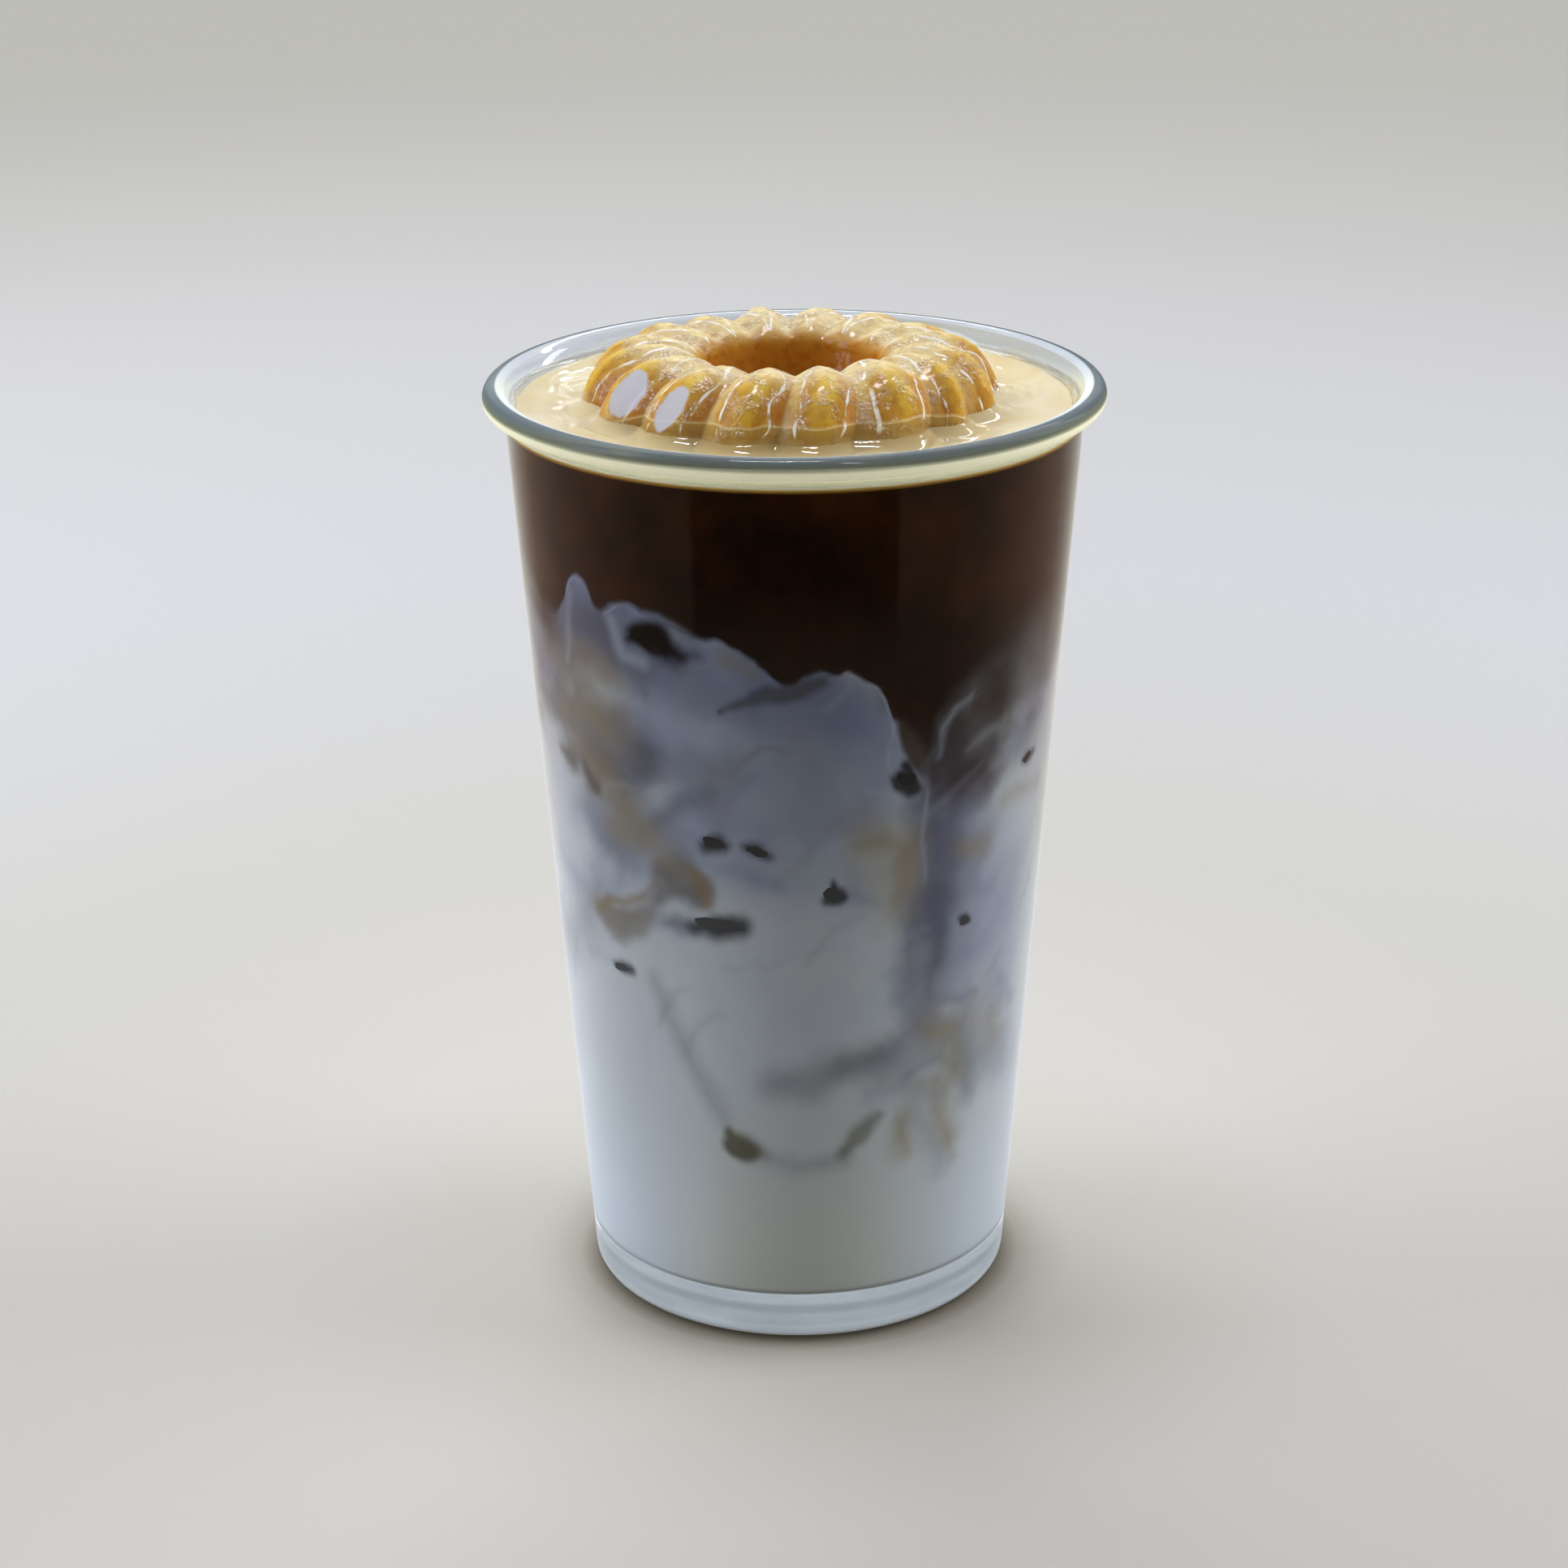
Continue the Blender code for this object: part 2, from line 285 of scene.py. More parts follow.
def neckFillet(shape):
    # the concave fillet under the bead, and the angle at which the bead meets it
    beadR = shape["rimRadius"] - shape["beadRadius"]
    beadZ = shape["height"] - shape["beadRadius"]
    reach = shape["beadRadius"] + shape["neckFillet"]
    slope = math.atan2(shape["neckRadius"] - shape["baseRadius"], shape["neckHeight"] - shape["heelRadius"])
    z = shape["neckHeight"]
    for _ in range(20):
        r = outerWall(z) + shape["neckFillet"] / math.cos(slope)
        z = beadZ - math.sqrt(reach * reach - (r - beadR) ** 2)
    start = math.degrees(math.atan2(beadZ - z, beadR - r))
    return arcPoints(r, z, shape["neckFillet"], start, 180 - math.degrees(slope), 10), start - 180


def glassOutline(shape):
    # from the middle of the floor, over the rim, to the middle of the underside
    floorR = innerWall(shape["floorHeight"] + shape["floorFillet"])
    beadR = shape["rimRadius"] - shape["beadRadius"]
    footR = shape["baseRadius"] - shape["heelRadius"]
    neck, beadEnd = neckFillet(shape)
    outline = [(0.0, shape["floorHeight"]), (floorR * 0.5, shape["floorHeight"])]
    outline += arcPoints(floorR - shape["floorFillet"], shape["floorHeight"] + shape["floorFillet"],
                         shape["floorFillet"], -90, 0, 10)
    outline += [(innerWall(z), z) for z in shape["innerRows"]]
    lipZ = shape["height"] - shape["lipHeight"]
    lipTurns = [math.radians(90 * i / 30) for i in range(31)]
    outline += [(beadR - (beadR - innerWall(lipZ)) * math.cos(a), lipZ + shape["lipHeight"] * math.sin(a))
                for a in lipTurns]
    outline += arcPoints(beadR, shape["height"] - shape["beadRadius"], shape["beadRadius"], 80, beadEnd, 20)
    outline += neck[1:]
    outline += [(outerWall(z), z) for z in shape["outerRows"]]
    outline += arcPoints(footR, shape["heelRadius"], shape["heelRadius"], 0, -90, 12)
    punt = footR - shape["footWidth"]
    outline += [(punt, 0.0), (punt - 0.6, 0.25), (punt * 0.8, shape["puntHeight"] * 0.6),
                (punt * 0.5, shape["puntHeight"] * 0.88), (0.0, shape["puntHeight"])]
    return outline


def turnedPiece(name, outline, steps, materials):
    # a body of revolution from an outline in mm that starts and ends on the axis
    points = [(0.0, 0.0, outline[0][1] * mm), (0.0, 0.0, outline[-1][1] * mm)]
    rows = outline[1:-1]
    for r, z in rows:
        for step in range(steps):
            angle = 2 * math.pi * step / steps
            points.append((r * mm * math.cos(angle), r * mm * math.sin(angle), z * mm))
    faces = [tuple(i + 2 for i in face[::-1]) for face in closedRows(len(rows), steps)]
    faces += capFan(2, steps, 0, True)
    faces += capFan(2 + (len(rows) - 1) * steps, steps, 1, False)
    return meshPiece(name, points, faces, materials)


def clearGlassMaterial(setup):
    # Soda-lime glass, pressed and fire-polished: clear and slightly grey-green in thick places,
    # with a mirror-like skin that swells a little over 22 mm. IOR 1.52, roughness 0.01.
    material, tree, output = newMaterial("sodaLimeGlass")
    place = addNode(tree, "TexCoord").outputs["Object"]
    aside, back, height = addNode(tree, "SeparateXYZ", {}, {"Vector": place}).outputs
    waves = speckle(tree, place, 22.22, 1.0)
    bump = addNode(tree, "Bump", {}, {"Height": waves, "Strength": 0.06, "Distance": 1 * mm}).outputs[0]
    tone = speckle(tree, place, 50.0, 2.0)
    tint = ramp(tree, tone, [(0.3, "EEF4F2"), (0.7, "F4F8F7")])
    rings = ramp(tree, spread(tree, height, 0.0, 10 * mm), setup["footRings"])
    glass = addNode(tree, "BsdfPrincipled", {}, {
        "Base Color": mix(tree, 0.8, tint, rings, "MULTIPLY"), "Roughness": 0.01, "IOR": 1.52,
        "Transmission Weight": 1.0, "Normal": bump,
    })
    # light shines through the wall on to the drink, but the thick foot bends it aside and shades the table
    thin = spread(tree, height, 1 * mm, 9 * mm)
    through = ramp(tree, thin, [(0.0, "6A6660"), (1.0, "EDF3F1")])
    clear = addNode(tree, "BsdfTransparent", {}, {"Color": through})
    # inside, cream has run down and left a film: cream, then thin and grey; above it a thin pale cover of
    # painted light stands for the bright room seen through the wall
    level = drinkShape["creamLevel"] * mm
    runs = spread(tree, speckle(tree, place, 9.0, 3.0), 0.3, 0.7, -0.7 * mm, 0.7 * mm)
    up = spread(tree, calc(tree, "ADD", height, runs), level, level + 5 * mm)
    onRight = spread(tree, aside, 2 * mm, 26 * mm, 0.0, 0.95, smooth=True)
    film = mix(tree, onRight, ramp(tree, up, setup["filmAndPaintedLight"]), linear(setup["filmRight"]))
    wetted = calc(tree, "GREATER_THAN", height, level - 0.2 * mm)
    inner = calc(tree, "MULTIPLY", ramp(tree, up, setup["filmAndPaintedLightCover"]), wetted)
    # outside, painted light and shade: the neck is painted pale under the bead, and yellow only in front of
    # the cream; the bead is painted dark above, a painted reflection of the dark room, with a painted
    # highlight along its top
    rise = spread(tree, height, level + 0.6 * mm, level + 4.9 * mm)
    behind = spread(tree, back, -8 * mm, 14 * mm, smooth=True)
    rim = mix(tree, behind, ramp(tree, rise, setup["rimPaintedTones"]), ramp(tree, rise, setup["rimPaintedTonesBehind"]))
    flat = addNode(tree, "VectorMath", {"operation": "MULTIPLY"}, {0: place, 1: (1.0, 1.0, 0.0)}).outputs[0]
    radius = addNode(tree, "VectorMath", {"operation": "LENGTH"}, {0: flat}).outputs["Value"]
    # the painted highlight along the top of the bead
    crest = spread(tree, radius, setup["crest"][0] * mm, setup["crest"][1] * mm, smooth=True)
    rim = mix(tree, crest, rim, linear(setup["crestPaintedHighlight"]))
    # the painted light and shade cover most of the clear skin by the rim
    paintCover = spread(tree, height, level + 0.5 * mm, level + 1.3 * mm, 0.0, setup["rimPaintCover"], smooth=True)
    mottled = spread(tree, tone, 0.35, 0.65, 0.88, 1.08)
    thinner = calc(tree, "MULTIPLY", spread(tree, crest, 0.0, 1.0, 1.0, 0.45), mottled)
    outer = calc(tree, "MULTIPLY", paintCover, thinner, clamp=True)
    outward = spread(tree, radius, (setup["inside"] - 0.03) * mm, (setup["inside"] + 0.03) * mm)
    # painted glow at the front of the neck, given as emission
    gathered = calc(tree, "MULTIPLY", spread(tree, behind, 0.0, 1.0, setup["neckGlow"], 0.0), outward)
    matt = addNode(tree, "BsdfPrincipled", {}, {
        "Base Color": mix(tree, outward, film, rim), "Roughness": 0.4, "Specular IOR Level": 0.0,
        "Emission Color": rim, "Emission Strength": gathered,
    })
    amount = addNode(tree, "Mix", {}, {"Factor": outward, 2: inner, 3: outer})
    misted = addNode(tree, "MixShader", {}, {0: amount.outputs[0], 1: glass.outputs[0], 2: matt.outputs[0]})
    shadow = addNode(tree, "LightPath").outputs["Is Shadow Ray"]
    both = addNode(tree, "MixShader", {}, {0: shadow, 1: misted.outputs[0], 2: clear.outputs[0]})
    tree.links.new(both.outputs[0], output.inputs["Surface"])
    return material


def buildGlass():
    shape = glassShape
    piece = turnedPiece("tumbler", glassOutline(shape), shape["steps"], [clearGlassMaterial(shape)])
    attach(piece, "root")
    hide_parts("glass")
    print("tumbler:", len(piece.data.polygons), "faces")


# Drink: milk below and coffee above, marbled where they meet at the wall

drinkShape = {
    "intoWall": 0.05,  # mm past the glass's inner face, so that no air shows between them
    "frontColumns": 344, "backColumns": 124,  # over half of the round each
    "rowHeight": 0.56,  # mm
    "creamLevel": 134.95, "creamAtWall": 1.15,  # mm: height of the cream, and how thick it is at the wall
    "middleBorder": 98.0,  # mm: where the milk ends in the middle
    "inwards": (0.93, 0.8, 0.6, 0.3),  # shares of the radius for the rows inside
    "evensOut": 1.5,  # how soon the border evens out towards the middle
    "overlap": 0.4, "lift": 0.3,  # mm that coffee reaches past the milk at the wall, and clears it further in
    "coffeeTop": (0.9, 0.5), "topDips": 6, "middleDips": 4,  # shares of the radius, and mm down from the wall
    "floorRows": 6,  # rows under the milk, up to where its edge starts to climb
    "underGlow": 0.45,  # light that comes down through the milk
}

# Where milk gives way to coffee at the wall: bearing in degrees, height in mm, and how soft the edge is in
# mm. Bearing 0 faces the front and grows towards the right.
milkBorder = [
    (-180, 106, 5), (-160, 102, 6), (-140, 96, 7), (-120, 101, 6), (-100, 108, 7), (-86, 112, 8),
    (-74, 113, 7), (-66, 109.6, 4), (-60, 110.4, 1.6), (-56, 113.4, 0.8), (-53.6, 117.0, 0.6),
    (-50.7, 117.9, 0.6),
    (-48, 117.0, 0.6), (-45.6, 114.4, 0.7), (-43.6, 113.2, 0.8), (-41, 114.4, 0.7), (-39, 115.6, 0.6),
    (-35, 115.8, 0.6), (-32, 114.4, 0.8), (-28, 114.2, 1.2), (-23, 112.8, 1.2), (-19, 112.0, 0.8),
    (-16, 112.4, 0.6), (-12, 110.9, 0.6), (-8, 109.2, 0.6), (-4.5, 107.7, 0.6), (-3, 105.8, 0.7),
    (0, 106.0, 0.7), (3, 107.4, 0.7), (6, 108.3, 0.6), (8.8, 107.3, 0.6), (11.2, 108.6, 0.6),
    (14, 106.9, 0.6), (17, 105.2, 0.6),
    (19, 103.2, 0.6), (20.4, 99.0, 0.5), (22.4, 96.0, 0.5), (26, 92.0, 0.6), (28.6, 90.6, 2.0), (30.4, 96, 6),
    (34, 99, 6), (40, 101, 8), (48, 103, 9), (58, 106, 10), (70, 107, 10), (84, 106, 9), (100, 105.0, 6),
    (118, 101.0, 5), (140, 94.0, 6), (160, 101.0, 5), (180, 106, 5),
]

# The marbling on the front, as brush strokes of a few colours. Each stroke is a strength, how soft its edge
# is in mm, and the points that it runs through: bearing in degrees, height in mm and half width in mm.
frontStrokes = {
    "dusk": [  # painted shade: milk in the shade of the coffee over it, and shadows beside the ice
        (0.62, 3.5, [(-26, 98, 9), (-10, 93, 12), (6, 92, 12), (15, 93, 9)]),
        (0.42, 2.6, [(-34, 84, 5), (-22, 82, 7), (-12, 80, 5)]),
        (0.40, 3.0, [(-12, 77, 3.5), (0, 76, 3.5), (12, 76, 3.5)]),
        (0.62, 3.0, [(-36, 109, 5), (-22, 108, 5), (-8, 104, 5), (5, 103, 6), (15, 100, 5)]),
        (0.60, 2.6, [(-60, 112, 4), (-50, 116, 5), (-40, 114, 5), (-28, 112, 5), (-18, 110, 5), (-8, 107, 4),
                     (4, 106, 4)]),
        (0.55, 3.0, [(-52, 79, 3), (-42, 80, 5.5), (-34, 78, 6), (-28, 82, 5)]),
        (0.40, 3.0, [(-70, 70, 1.5), (-58, 69, 2.5), (-44, 73, 2), (-38, 76, 2)]),
        (0.85, 2.6, [(-70, 104, 6), (-58, 108, 6), (-48, 112, 7), (-38, 112, 5)]),
        (0.60, 1.8, [(-22, 79, 0.5), (-14, 76.6, 1.0), (-5, 75, 1.0)]),
        (0.62, 1.8, [(8, 72.8, 1.0), (13, 72.8, 0.9), (18, 71.2, 0.4)]),
        (0.55, 2.0, [(-35, 67.4, 0.7), (-27, 67.8, 1.2)]),
        (0.40, 2.0, [(-59, 57.6, 0.5), (-50, 57.4, 0.9)]),
        (0.36, 1.8, [(41, 67, 0.6), (45, 69.6, 0.9), (53, 69.4, 0.9), (57.5, 66, 0.8), (52, 62, 0.6)]),
        (0.25, 3.5, [(44, 60, 2.5), (56, 61, 2.5)]),
        (0.60, 1.9, [(56.5, 53.6, 0.5), (62, 51.2, 1.1), (67, 47.6, 0.7)]),
        (0.30, 5.0, [(50, 47, 3), (58, 42, 4), (70, 38, 4)]),
        (0.50, 2.6, [(37, 88, 2), (38.5, 76, 1.6), (37.5, 62, 1.4)]),
        (0.60, 4.0, [(52, 90, 2), (60, 93, 3.5), (70, 97, 4)]),
        (0.55, 4.0, [(41, 88, 4), (43, 76, 5), (43, 66, 5.5), (41, 55, 4.5)]),
        (0.42, 5.0, [(50, 73, 5), (56, 65, 6), (53, 54, 5)]),
        (0.36, 4.0, [(63, 72, 4), (66, 60, 4), (62, 50, 4)]),
        (0.30, 2.0, [(22, 63, 1.0), (25, 55, 1.2)]),
    ],
    "smoke": [  # thin coffee in the milk
        (0.74, 3.2, [(-84, 98, 3), (-66, 96.4, 3.6), (-54, 95, 5.6), (-44, 93.5, 5.8), (-37, 94, 3.4)]),
        (0.70, 2.6, [(-61, 89, 1.8), (-52, 88.2, 3.6), (-43, 87.4, 3.4), (-36, 90, 2.6)]),
        (0.34, 3.5, [(-62, 80, 3), (-54, 82, 4), (-46, 79, 4)]),
        (0.80, 1.6, [(-32, 68.2, 0.6), (-26, 68.2, 1.5)]),
        (0.42, 3.0, [(50, 88, 1.6), (56, 90, 2.6), (64, 92, 3)]),
        (0.66, 4.0, [(-80, 106, 5), (-66, 106, 5), (-54, 108, 6), (-46, 108, 6), (-41, 106, 4)]),
        (0.40, 3.0, [(-50, 113, 4), (-38, 112, 4), (-26, 108, 3)]),
        (0.52, 1.7, [(-38, 81, 0.8), (-28, 86, 1.4), (-19.5, 88.8, 1.1)]),
        (0.30, 2.6, [(-46, 78, 3), (-36, 83, 4), (-30, 80, 3)]),
        (0.38, 2.6, [(-33, 93, 2.4), (-24, 92, 3.0), (-16, 92, 2.4)]),
        (0.28, 3.0, [(-32, 104, 3), (-20, 103, 3), (-12, 102, 2)]),
        (0.80, 1.5, [(-31.5, 76, 2.4), (-27.5, 75.6, 3.6), (-24, 74, 2.6)]),
        (0.85, 0.9, [(-17, 101.6, 0.3), (-12, 102.7, 0.9), (-5, 104.0, 1.5), (1, 104.8, 1.6),
                     (6, 106.4, 1.0)]),
        (0.50, 2.6, [(-7, 43.5, 2.2), (2, 43.6, 3.0), (10, 46, 2.6), (20, 48, 2.2)]),
        (0.48, 2.8, [(12, 45.6, 2.2), (22, 45.4, 3.4), (32, 47, 3.6)]),
        (0.42, 2.6, [(21, 48.4, 1.6), (29, 50.0, 1.8), (37, 49.2, 2.2), (43, 46.2, 2.6), (46.5, 42, 2.6),
                     (48, 37, 1.6)]),
        (0.40, 1.4, [(27.5, 42.6, 0.4), (31, 44.2, 0.6), (37, 44.6, 0.7), (43, 42.4, 0.4)]),
        (0.40, 2.6, [(20, 40.5, 1.4), (29, 41.4, 2.2), (38, 39, 2.2)]),
        (0.42, 2.6, [(-37.5, 57.5, 0.8), (-30, 48.4, 1.3), (-25, 42.6, 1.3), (-19.5, 37, 1.0)]),
        (0.48, 2.4, [(-13, 31.2, 0.9), (-1, 29.4, 0.9), (10, 30.1, 0.9)]),
        (0.36, 3.0, [(30, 36, 1.8), (36, 33, 2.4), (40, 27, 2.0)]),
        (0.34, 4.5, [(44, 46, 4), (52, 42, 5), (62, 42, 4)]),
        (0.36, 4.0, [(-84, 56, 4), (-70, 58, 4), (-60, 63, 4), (-54, 70, 2)]),
        (0.30, 0.9, [(-33.8, 102.2, 0.5)]),
        (0.38, 1.4, [(39, 53.4, 0.4), (44, 52.6, 0.6), (49, 53, 0.4)]),
    ],
    "umber": [  # ice behind a thin skin of milk
        (0.58, 1.4, [(-52, 65.8, 2.2), (-47, 65.0, 3.0), (-42, 66.2, 2.6), (-38, 68.6, 1.7),
                     (-33.5, 71.8, 1.2)]),
        (0.75, 1.4, [(-55, 87.4, 1.0), (-52.3, 85.4, 1.3)]),
        (0.52, 1.6, [(-34, 72.6, 1.0), (-30, 74.6, 1.8), (-25, 73.4, 2.2)]),
        (0.55, 0.8, [(22.0, 98.8, 0.4), (25.0, 96.0, 1.3), (28.2, 92.8, 1.2), (29.4, 91.0, 0.5)]),
    ],
    "violet": [  # the tongue of coffee that sinks on the right
        (0.62, 2.6, [(29, 91, 1.4), (29.8, 83, 2.4), (30.8, 76, 3.4), (31.2, 68, 4.0)]),
        (0.46, 2.4, [(30.8, 70, 4.0), (31.2, 61, 4.2), (30.6, 54.0, 3.2)]),
        (0.34, 1.3, [(33.4, 71, 0.8), (34.4, 63, 1.2), (33.2, 56, 0.8)]),
        (0.62, 2.2, [(34.6, 95, 2.6), (35.8, 86, 3.0), (35.8, 77, 2.6), (35.6, 68, 2.2), (35, 60, 1.4)]),
        (0.30, 2.4, [(26, 66, 1.2), (26.6, 58, 1.6)]),
        (0.34, 3.4, [(35, 92, 4.0), (36, 80, 5.6), (35.6, 68, 6.0), (33, 55, 4.6)]),
    ],
    "tan": [
        (0.72, 2.6, [(14, 81.4, 1.2), (20, 81.8, 2.4), (26, 80.4, 2.6), (26, 74.5, 2.4), (23.5, 71, 1.2)]),
        (0.60, 2.4, [(41.6, 77.2, 1.6), (47, 76.2, 2.2)]),
        (0.42, 3.2, [(16, 84, 3.0), (20, 77, 4.0), (22, 70, 3.0)]),
        (0.45, 3.0, [(34, 51, 2.0), (40, 48, 3.2), (42, 42, 2.6)]),
        (0.40, 3.2, [(50, 50, 2.6), (58, 46, 3.0)]),
        (0.46, 2.4, [(28.6, 37, 1.8), (27.4, 31, 2.2)]),
        (0.42, 2.4, [(39, 38, 2.0), (43, 31, 2.4)]),
        (0.40, 4.0, [(-64, 105, 3), (-54, 102, 5), (-46, 97, 5)]),
        (0.52, 3.0, [(-57, 91, 2.5), (-47, 87, 3.5), (-41, 81, 3.0)]),
        (0.50, 3.0, [(-38, 84, 2.2), (-33, 79, 2.8), (-28, 76, 2.0)]),
        (0.60, 2.2, [(-54, 67, 1.8), (-47, 65.6, 2.6), (-41, 68, 2.0)]),
        (0.50, 2.0, [(54, 82.6, 0.8), (61, 82.8, 1.2), (70, 82.4, 1.1)]),
        (0.60, 1.4, [(27.2, 35.4, 0.7), (28.3, 32.4, 1.0), (29.4, 30.6, 0.5)]),
        (0.55, 1.6, [(38, 35.6, 0.6), (42, 32, 1.1), (44.6, 26.4, 0.8)]),
        (0.50, 1.6, [(31, 41.2, 0.6), (36.5, 40.8, 0.6)]),
        (0.48, 1.4, [(34, 48.8, 0.7), (39, 48.6, 0.7)]),
        (0.42, 3.0, [(-52, 106.4, 1.6), (-46, 105.4, 2.6), (-41, 103.4, 1.6)]),
        (0.50, 1.6, [(-47, 80.4, 1.0), (-43.6, 79.6, 0.9)]),
        (0.50, 1.6, [(-15, 109.2, 1.2), (-8.5, 107.4, 1.0)]),
        (0.45, 1.6, [(-62, 95, 1.0), (-53, 96.6, 1.6), (-47, 95.4, 1.0)]),
        (0.30, 2.0, [(-17, 87, 0.4), (-17.6, 84, 0.4)]),
    ],
    "coffee": [
        (0.62, 3.6, [(36, 98, 3), (40, 94, 6.0), (44, 93, 5.5), (48, 99, 4)]),
        (0.42, 2.0, [(40, 88, 2.5), (45, 86, 3.0)]),
        (0.40, 5.0, [(50, 101, 5), (60, 101, 6), (72, 103, 5)]),
        (0.45, 2.4, [(29.5, 95, 1.6), (32, 91, 1.4), (33, 88, 1.0)]),
        (0.50, 3.5, [(-78, 112, 2), (-70, 110, 1.5), (-64, 108, 1.5)]),
    ],
    "milk": [  # milk drawn through the coffee
        (0.72, 0.6, [(20.7, 99.4, 0.1), (22.6, 96.2, 0.15), (26, 92.5, 0.15), (29, 89.6, 0.2)]),
        (0.50, 0.4, [(20.3, 99, 0.05), (20.5, 92.4, 0.05)]),
        (0.40, 0.6, [(30.3, 90, 0.1), (30.5, 80, 0.15), (31.2, 74, 0.1)]),
        (0.42, 0.9, [(33.0, 93.0, 0.2), (33.4, 97, 0.4), (36, 99.6, 0.45), (39.6, 100.6, 0.2)]),
        (0.22, 1.0, [(-57, 104, 0.4), (-55.5, 109, 0.6), (-53.4, 114.6, 0.5)]),
        (0.35, 2.6, [(-78, 86, 2.5), (-68, 82, 4), (-63, 78, 3)]),
        (0.45, 2.4, [(50, 73.4, 1.0), (56, 76.6, 2.2), (64, 77, 2.6), (70, 87.5, 1.2)]),
        (0.35, 2.0, [(22, 40, 1.0), (28, 38.4, 0.8)]),
        (0.30, 1.4, [(24, 88.4, 0.8), (17, 89.4, 0.6)]),
        (0.30, 1.0, [(-36, 72.8, 0.5), (-33, 74.2, 0.5)]),
        (0.40, 1.0, [(-40, 112.6, 0.8), (-38, 108, 1.0), (-34, 107, 0.8)]),
    ],
    "olive": [  # coffee in the clefts between the pieces of ice
        (0.96, 0.9, [(-18.4, 35.0, 0.7), (-17.0, 32.6, 2.1), (-13.6, 31.6, 1.5)]),
        (0.60, 1.6, [(-13.6, 32.2, 1.5), (-10, 31.4, 0.9)]),
        (0.66, 1.2, [(10.6, 31.0, 0.9), (15, 33.4, 1.7), (21, 37.0, 0.9)]),
        (0.66, 1.3, [(-64.6, 88.2, 0.7), (-60.6, 87.0, 1.2)]),
        (0.28, 1.0, [(-52, 67.4, 0.4), (-49.6, 69.2, 0.6), (-44.6, 69.6, 0.5), (-38, 71.6, 0.4)]),
        (0.45, 1.4, [(-26.5, 113.2, 0.6), (-22.5, 112.0, 0.8)]),
        (0.30, 1.0, [(-36.8, 114.6, 0.4)]),
        (0.35, 1.2, [(16.6, 104.6, 0.4), (18.4, 101.6, 0.6)]),
    ],
    "amber": [  # light through ice and thin coffee
        (0.72, 1.1, [(-24.6, 77.6, 0.6), (-22.4, 75.4, 1.5), (-21.6, 72.4, 1.0)]),
        (0.60, 1.0, [(-53.5, 66.6, 0.6), (-50.5, 68.6, 0.8), (-45, 69.4, 0.6), (-38.4, 71.6, 0.5),
                     (-34, 74.2, 0.4)]),
        (0.40, 1.0, [(-15.6, 34.6, 0.5)]),
    ],
    "ice": [  # ice against the glass, with the dark coffee showing through it
        (1.0, 0.9, [(-35.4, 110.6, 1.0), (-33.4, 111.2, 2.0), (-30.4, 111.0, 2.3), (-27.6, 109.6, 1.5),
                    (-25.0, 108.8, 0.8)]),
        (0.70, 1.5, [(-25.4, 109.0, 0.9), (-21.5, 109.4, 0.6)]),
        (1.0, 1.1, [(-21.0, 81.2, 1.1), (-18.6, 81.5, 1.6), (-16.6, 81.0, 0.9)]),
        (1.0, 1.1, [(-11.2, 81.1, 0.7), (-8.8, 80.5, 1.1), (-6.6, 79.6, 0.6)]),
        (1.0, 0.6, [(5.8, 73.0, 0.9), (8.8, 73.2, 1.3)]),
        (1.0, 0.6, [(7.4, 73.6, 1.3), (7.5, 75.6, 0.5)]),
        (1.0, 1.2, [(-24.8, 68.2, 1.0), (-19.0, 68.4, 2.0), (-13.4, 68.5, 1.5)]),
        (0.92, 0.8, [(-50.0, 57.3, 0.6), (-47.4, 57.6, 1.1), (-45.0, 57.9, 0.9)]),
        (1.0, 0.5, [(41.6, 65.9, 0.5), (43.2, 65.6, 1.0), (44.4, 65.3, 0.6)]),
        (0.80, 0.8, [(61.0, 87.4, 0.5), (63.4, 87.6, 1.2), (65.4, 88.0, 0.7)]),
        (0.94, 0.6, [(21.4, 90.9, 0.5), (23.6, 90.6, 1.5), (26.8, 89.4, 1.3), (24.6, 92.4, 0.9)]),
        (0.80, 0.25, [(-17.0, 101.5, 0.14)]),
        (0.50, 1.4, [(-30, 108.6, 1.0), (-26, 107.6, 0.6)]),
    ],
}

marbling = {
    "noiseSeed": 4,  # gives the same marbling each run
    "wander": [(13.0, 1.1), (4.2, 0.55), (1.5, 0.2)],  # noise size and reach, in mm, that make the edges run
    "shadeClouds": [(18.0, 0.10), (7.0, 0.07), (2.6, 0.04)],  # noise size in mm and strength of the mottled painted shade
    "cloudsFrom": 24, "cloudsOver": 40, "cloudsStrength": 1.6,  # mm of height over which the mottled painted shade sets in
    "fray": [(4.0, 0.28), (1.6, 0.12)],  # noise size in mm and how far it makes a soft edge come and go
    "borderFray": 0.35,  # the same at the border of milk and coffee
    "milkInCoffee": 0.6,  # how far coffee swallows a streak of milk
    "wispSeed": 5, "wisps": {"smoke": 46, "milk": 40, "dusk": 26},  # thin streaks all round
    "backStart": 84, "backEnd": 276,  # bearings that the photo doesn't show
    "backSeed": 23,
    "backCounts": {"dusk": 12, "smoke": 14, "umber": 3, "violet": 2, "tan": 8, "coffee": 3, "milk": 6,
                   "olive": 5, "amber": 3, "ice": 8},
    # which of them are broad and which lie high up, and what their sizes in mm and degrees are drawn from
    "broad": ("dusk", "smoke"), "broadSpans": {"width": (2.5, 6.0), "run": (12, 30)},
    "thinSpans": {"width": (0.5, 1.6), "run": (5, 12)},
    "high": ("dusk", "smoke", "milk", "coffee", "violet"), "highSpan": (66, 100), "lowSpan": (30, 88),
    "rise": (-6, 6), "strength": (0.35, 0.7), "softness": (0.6, 1.2),
    "iceSpans": {"height": (45, 92), "run": (2, 4), "rise": (-0.5, 0.5), "width": (0.5, 1.3)},
    "wispSpans": {"height": (44, 108), "run": (6, 16), "rise": (1, 8), "bend": (-2.5, 2.5),
                  "width": (0.1, 0.8), "strength": (0.10, 0.30), "soft": (0.6, 1.8)},
}


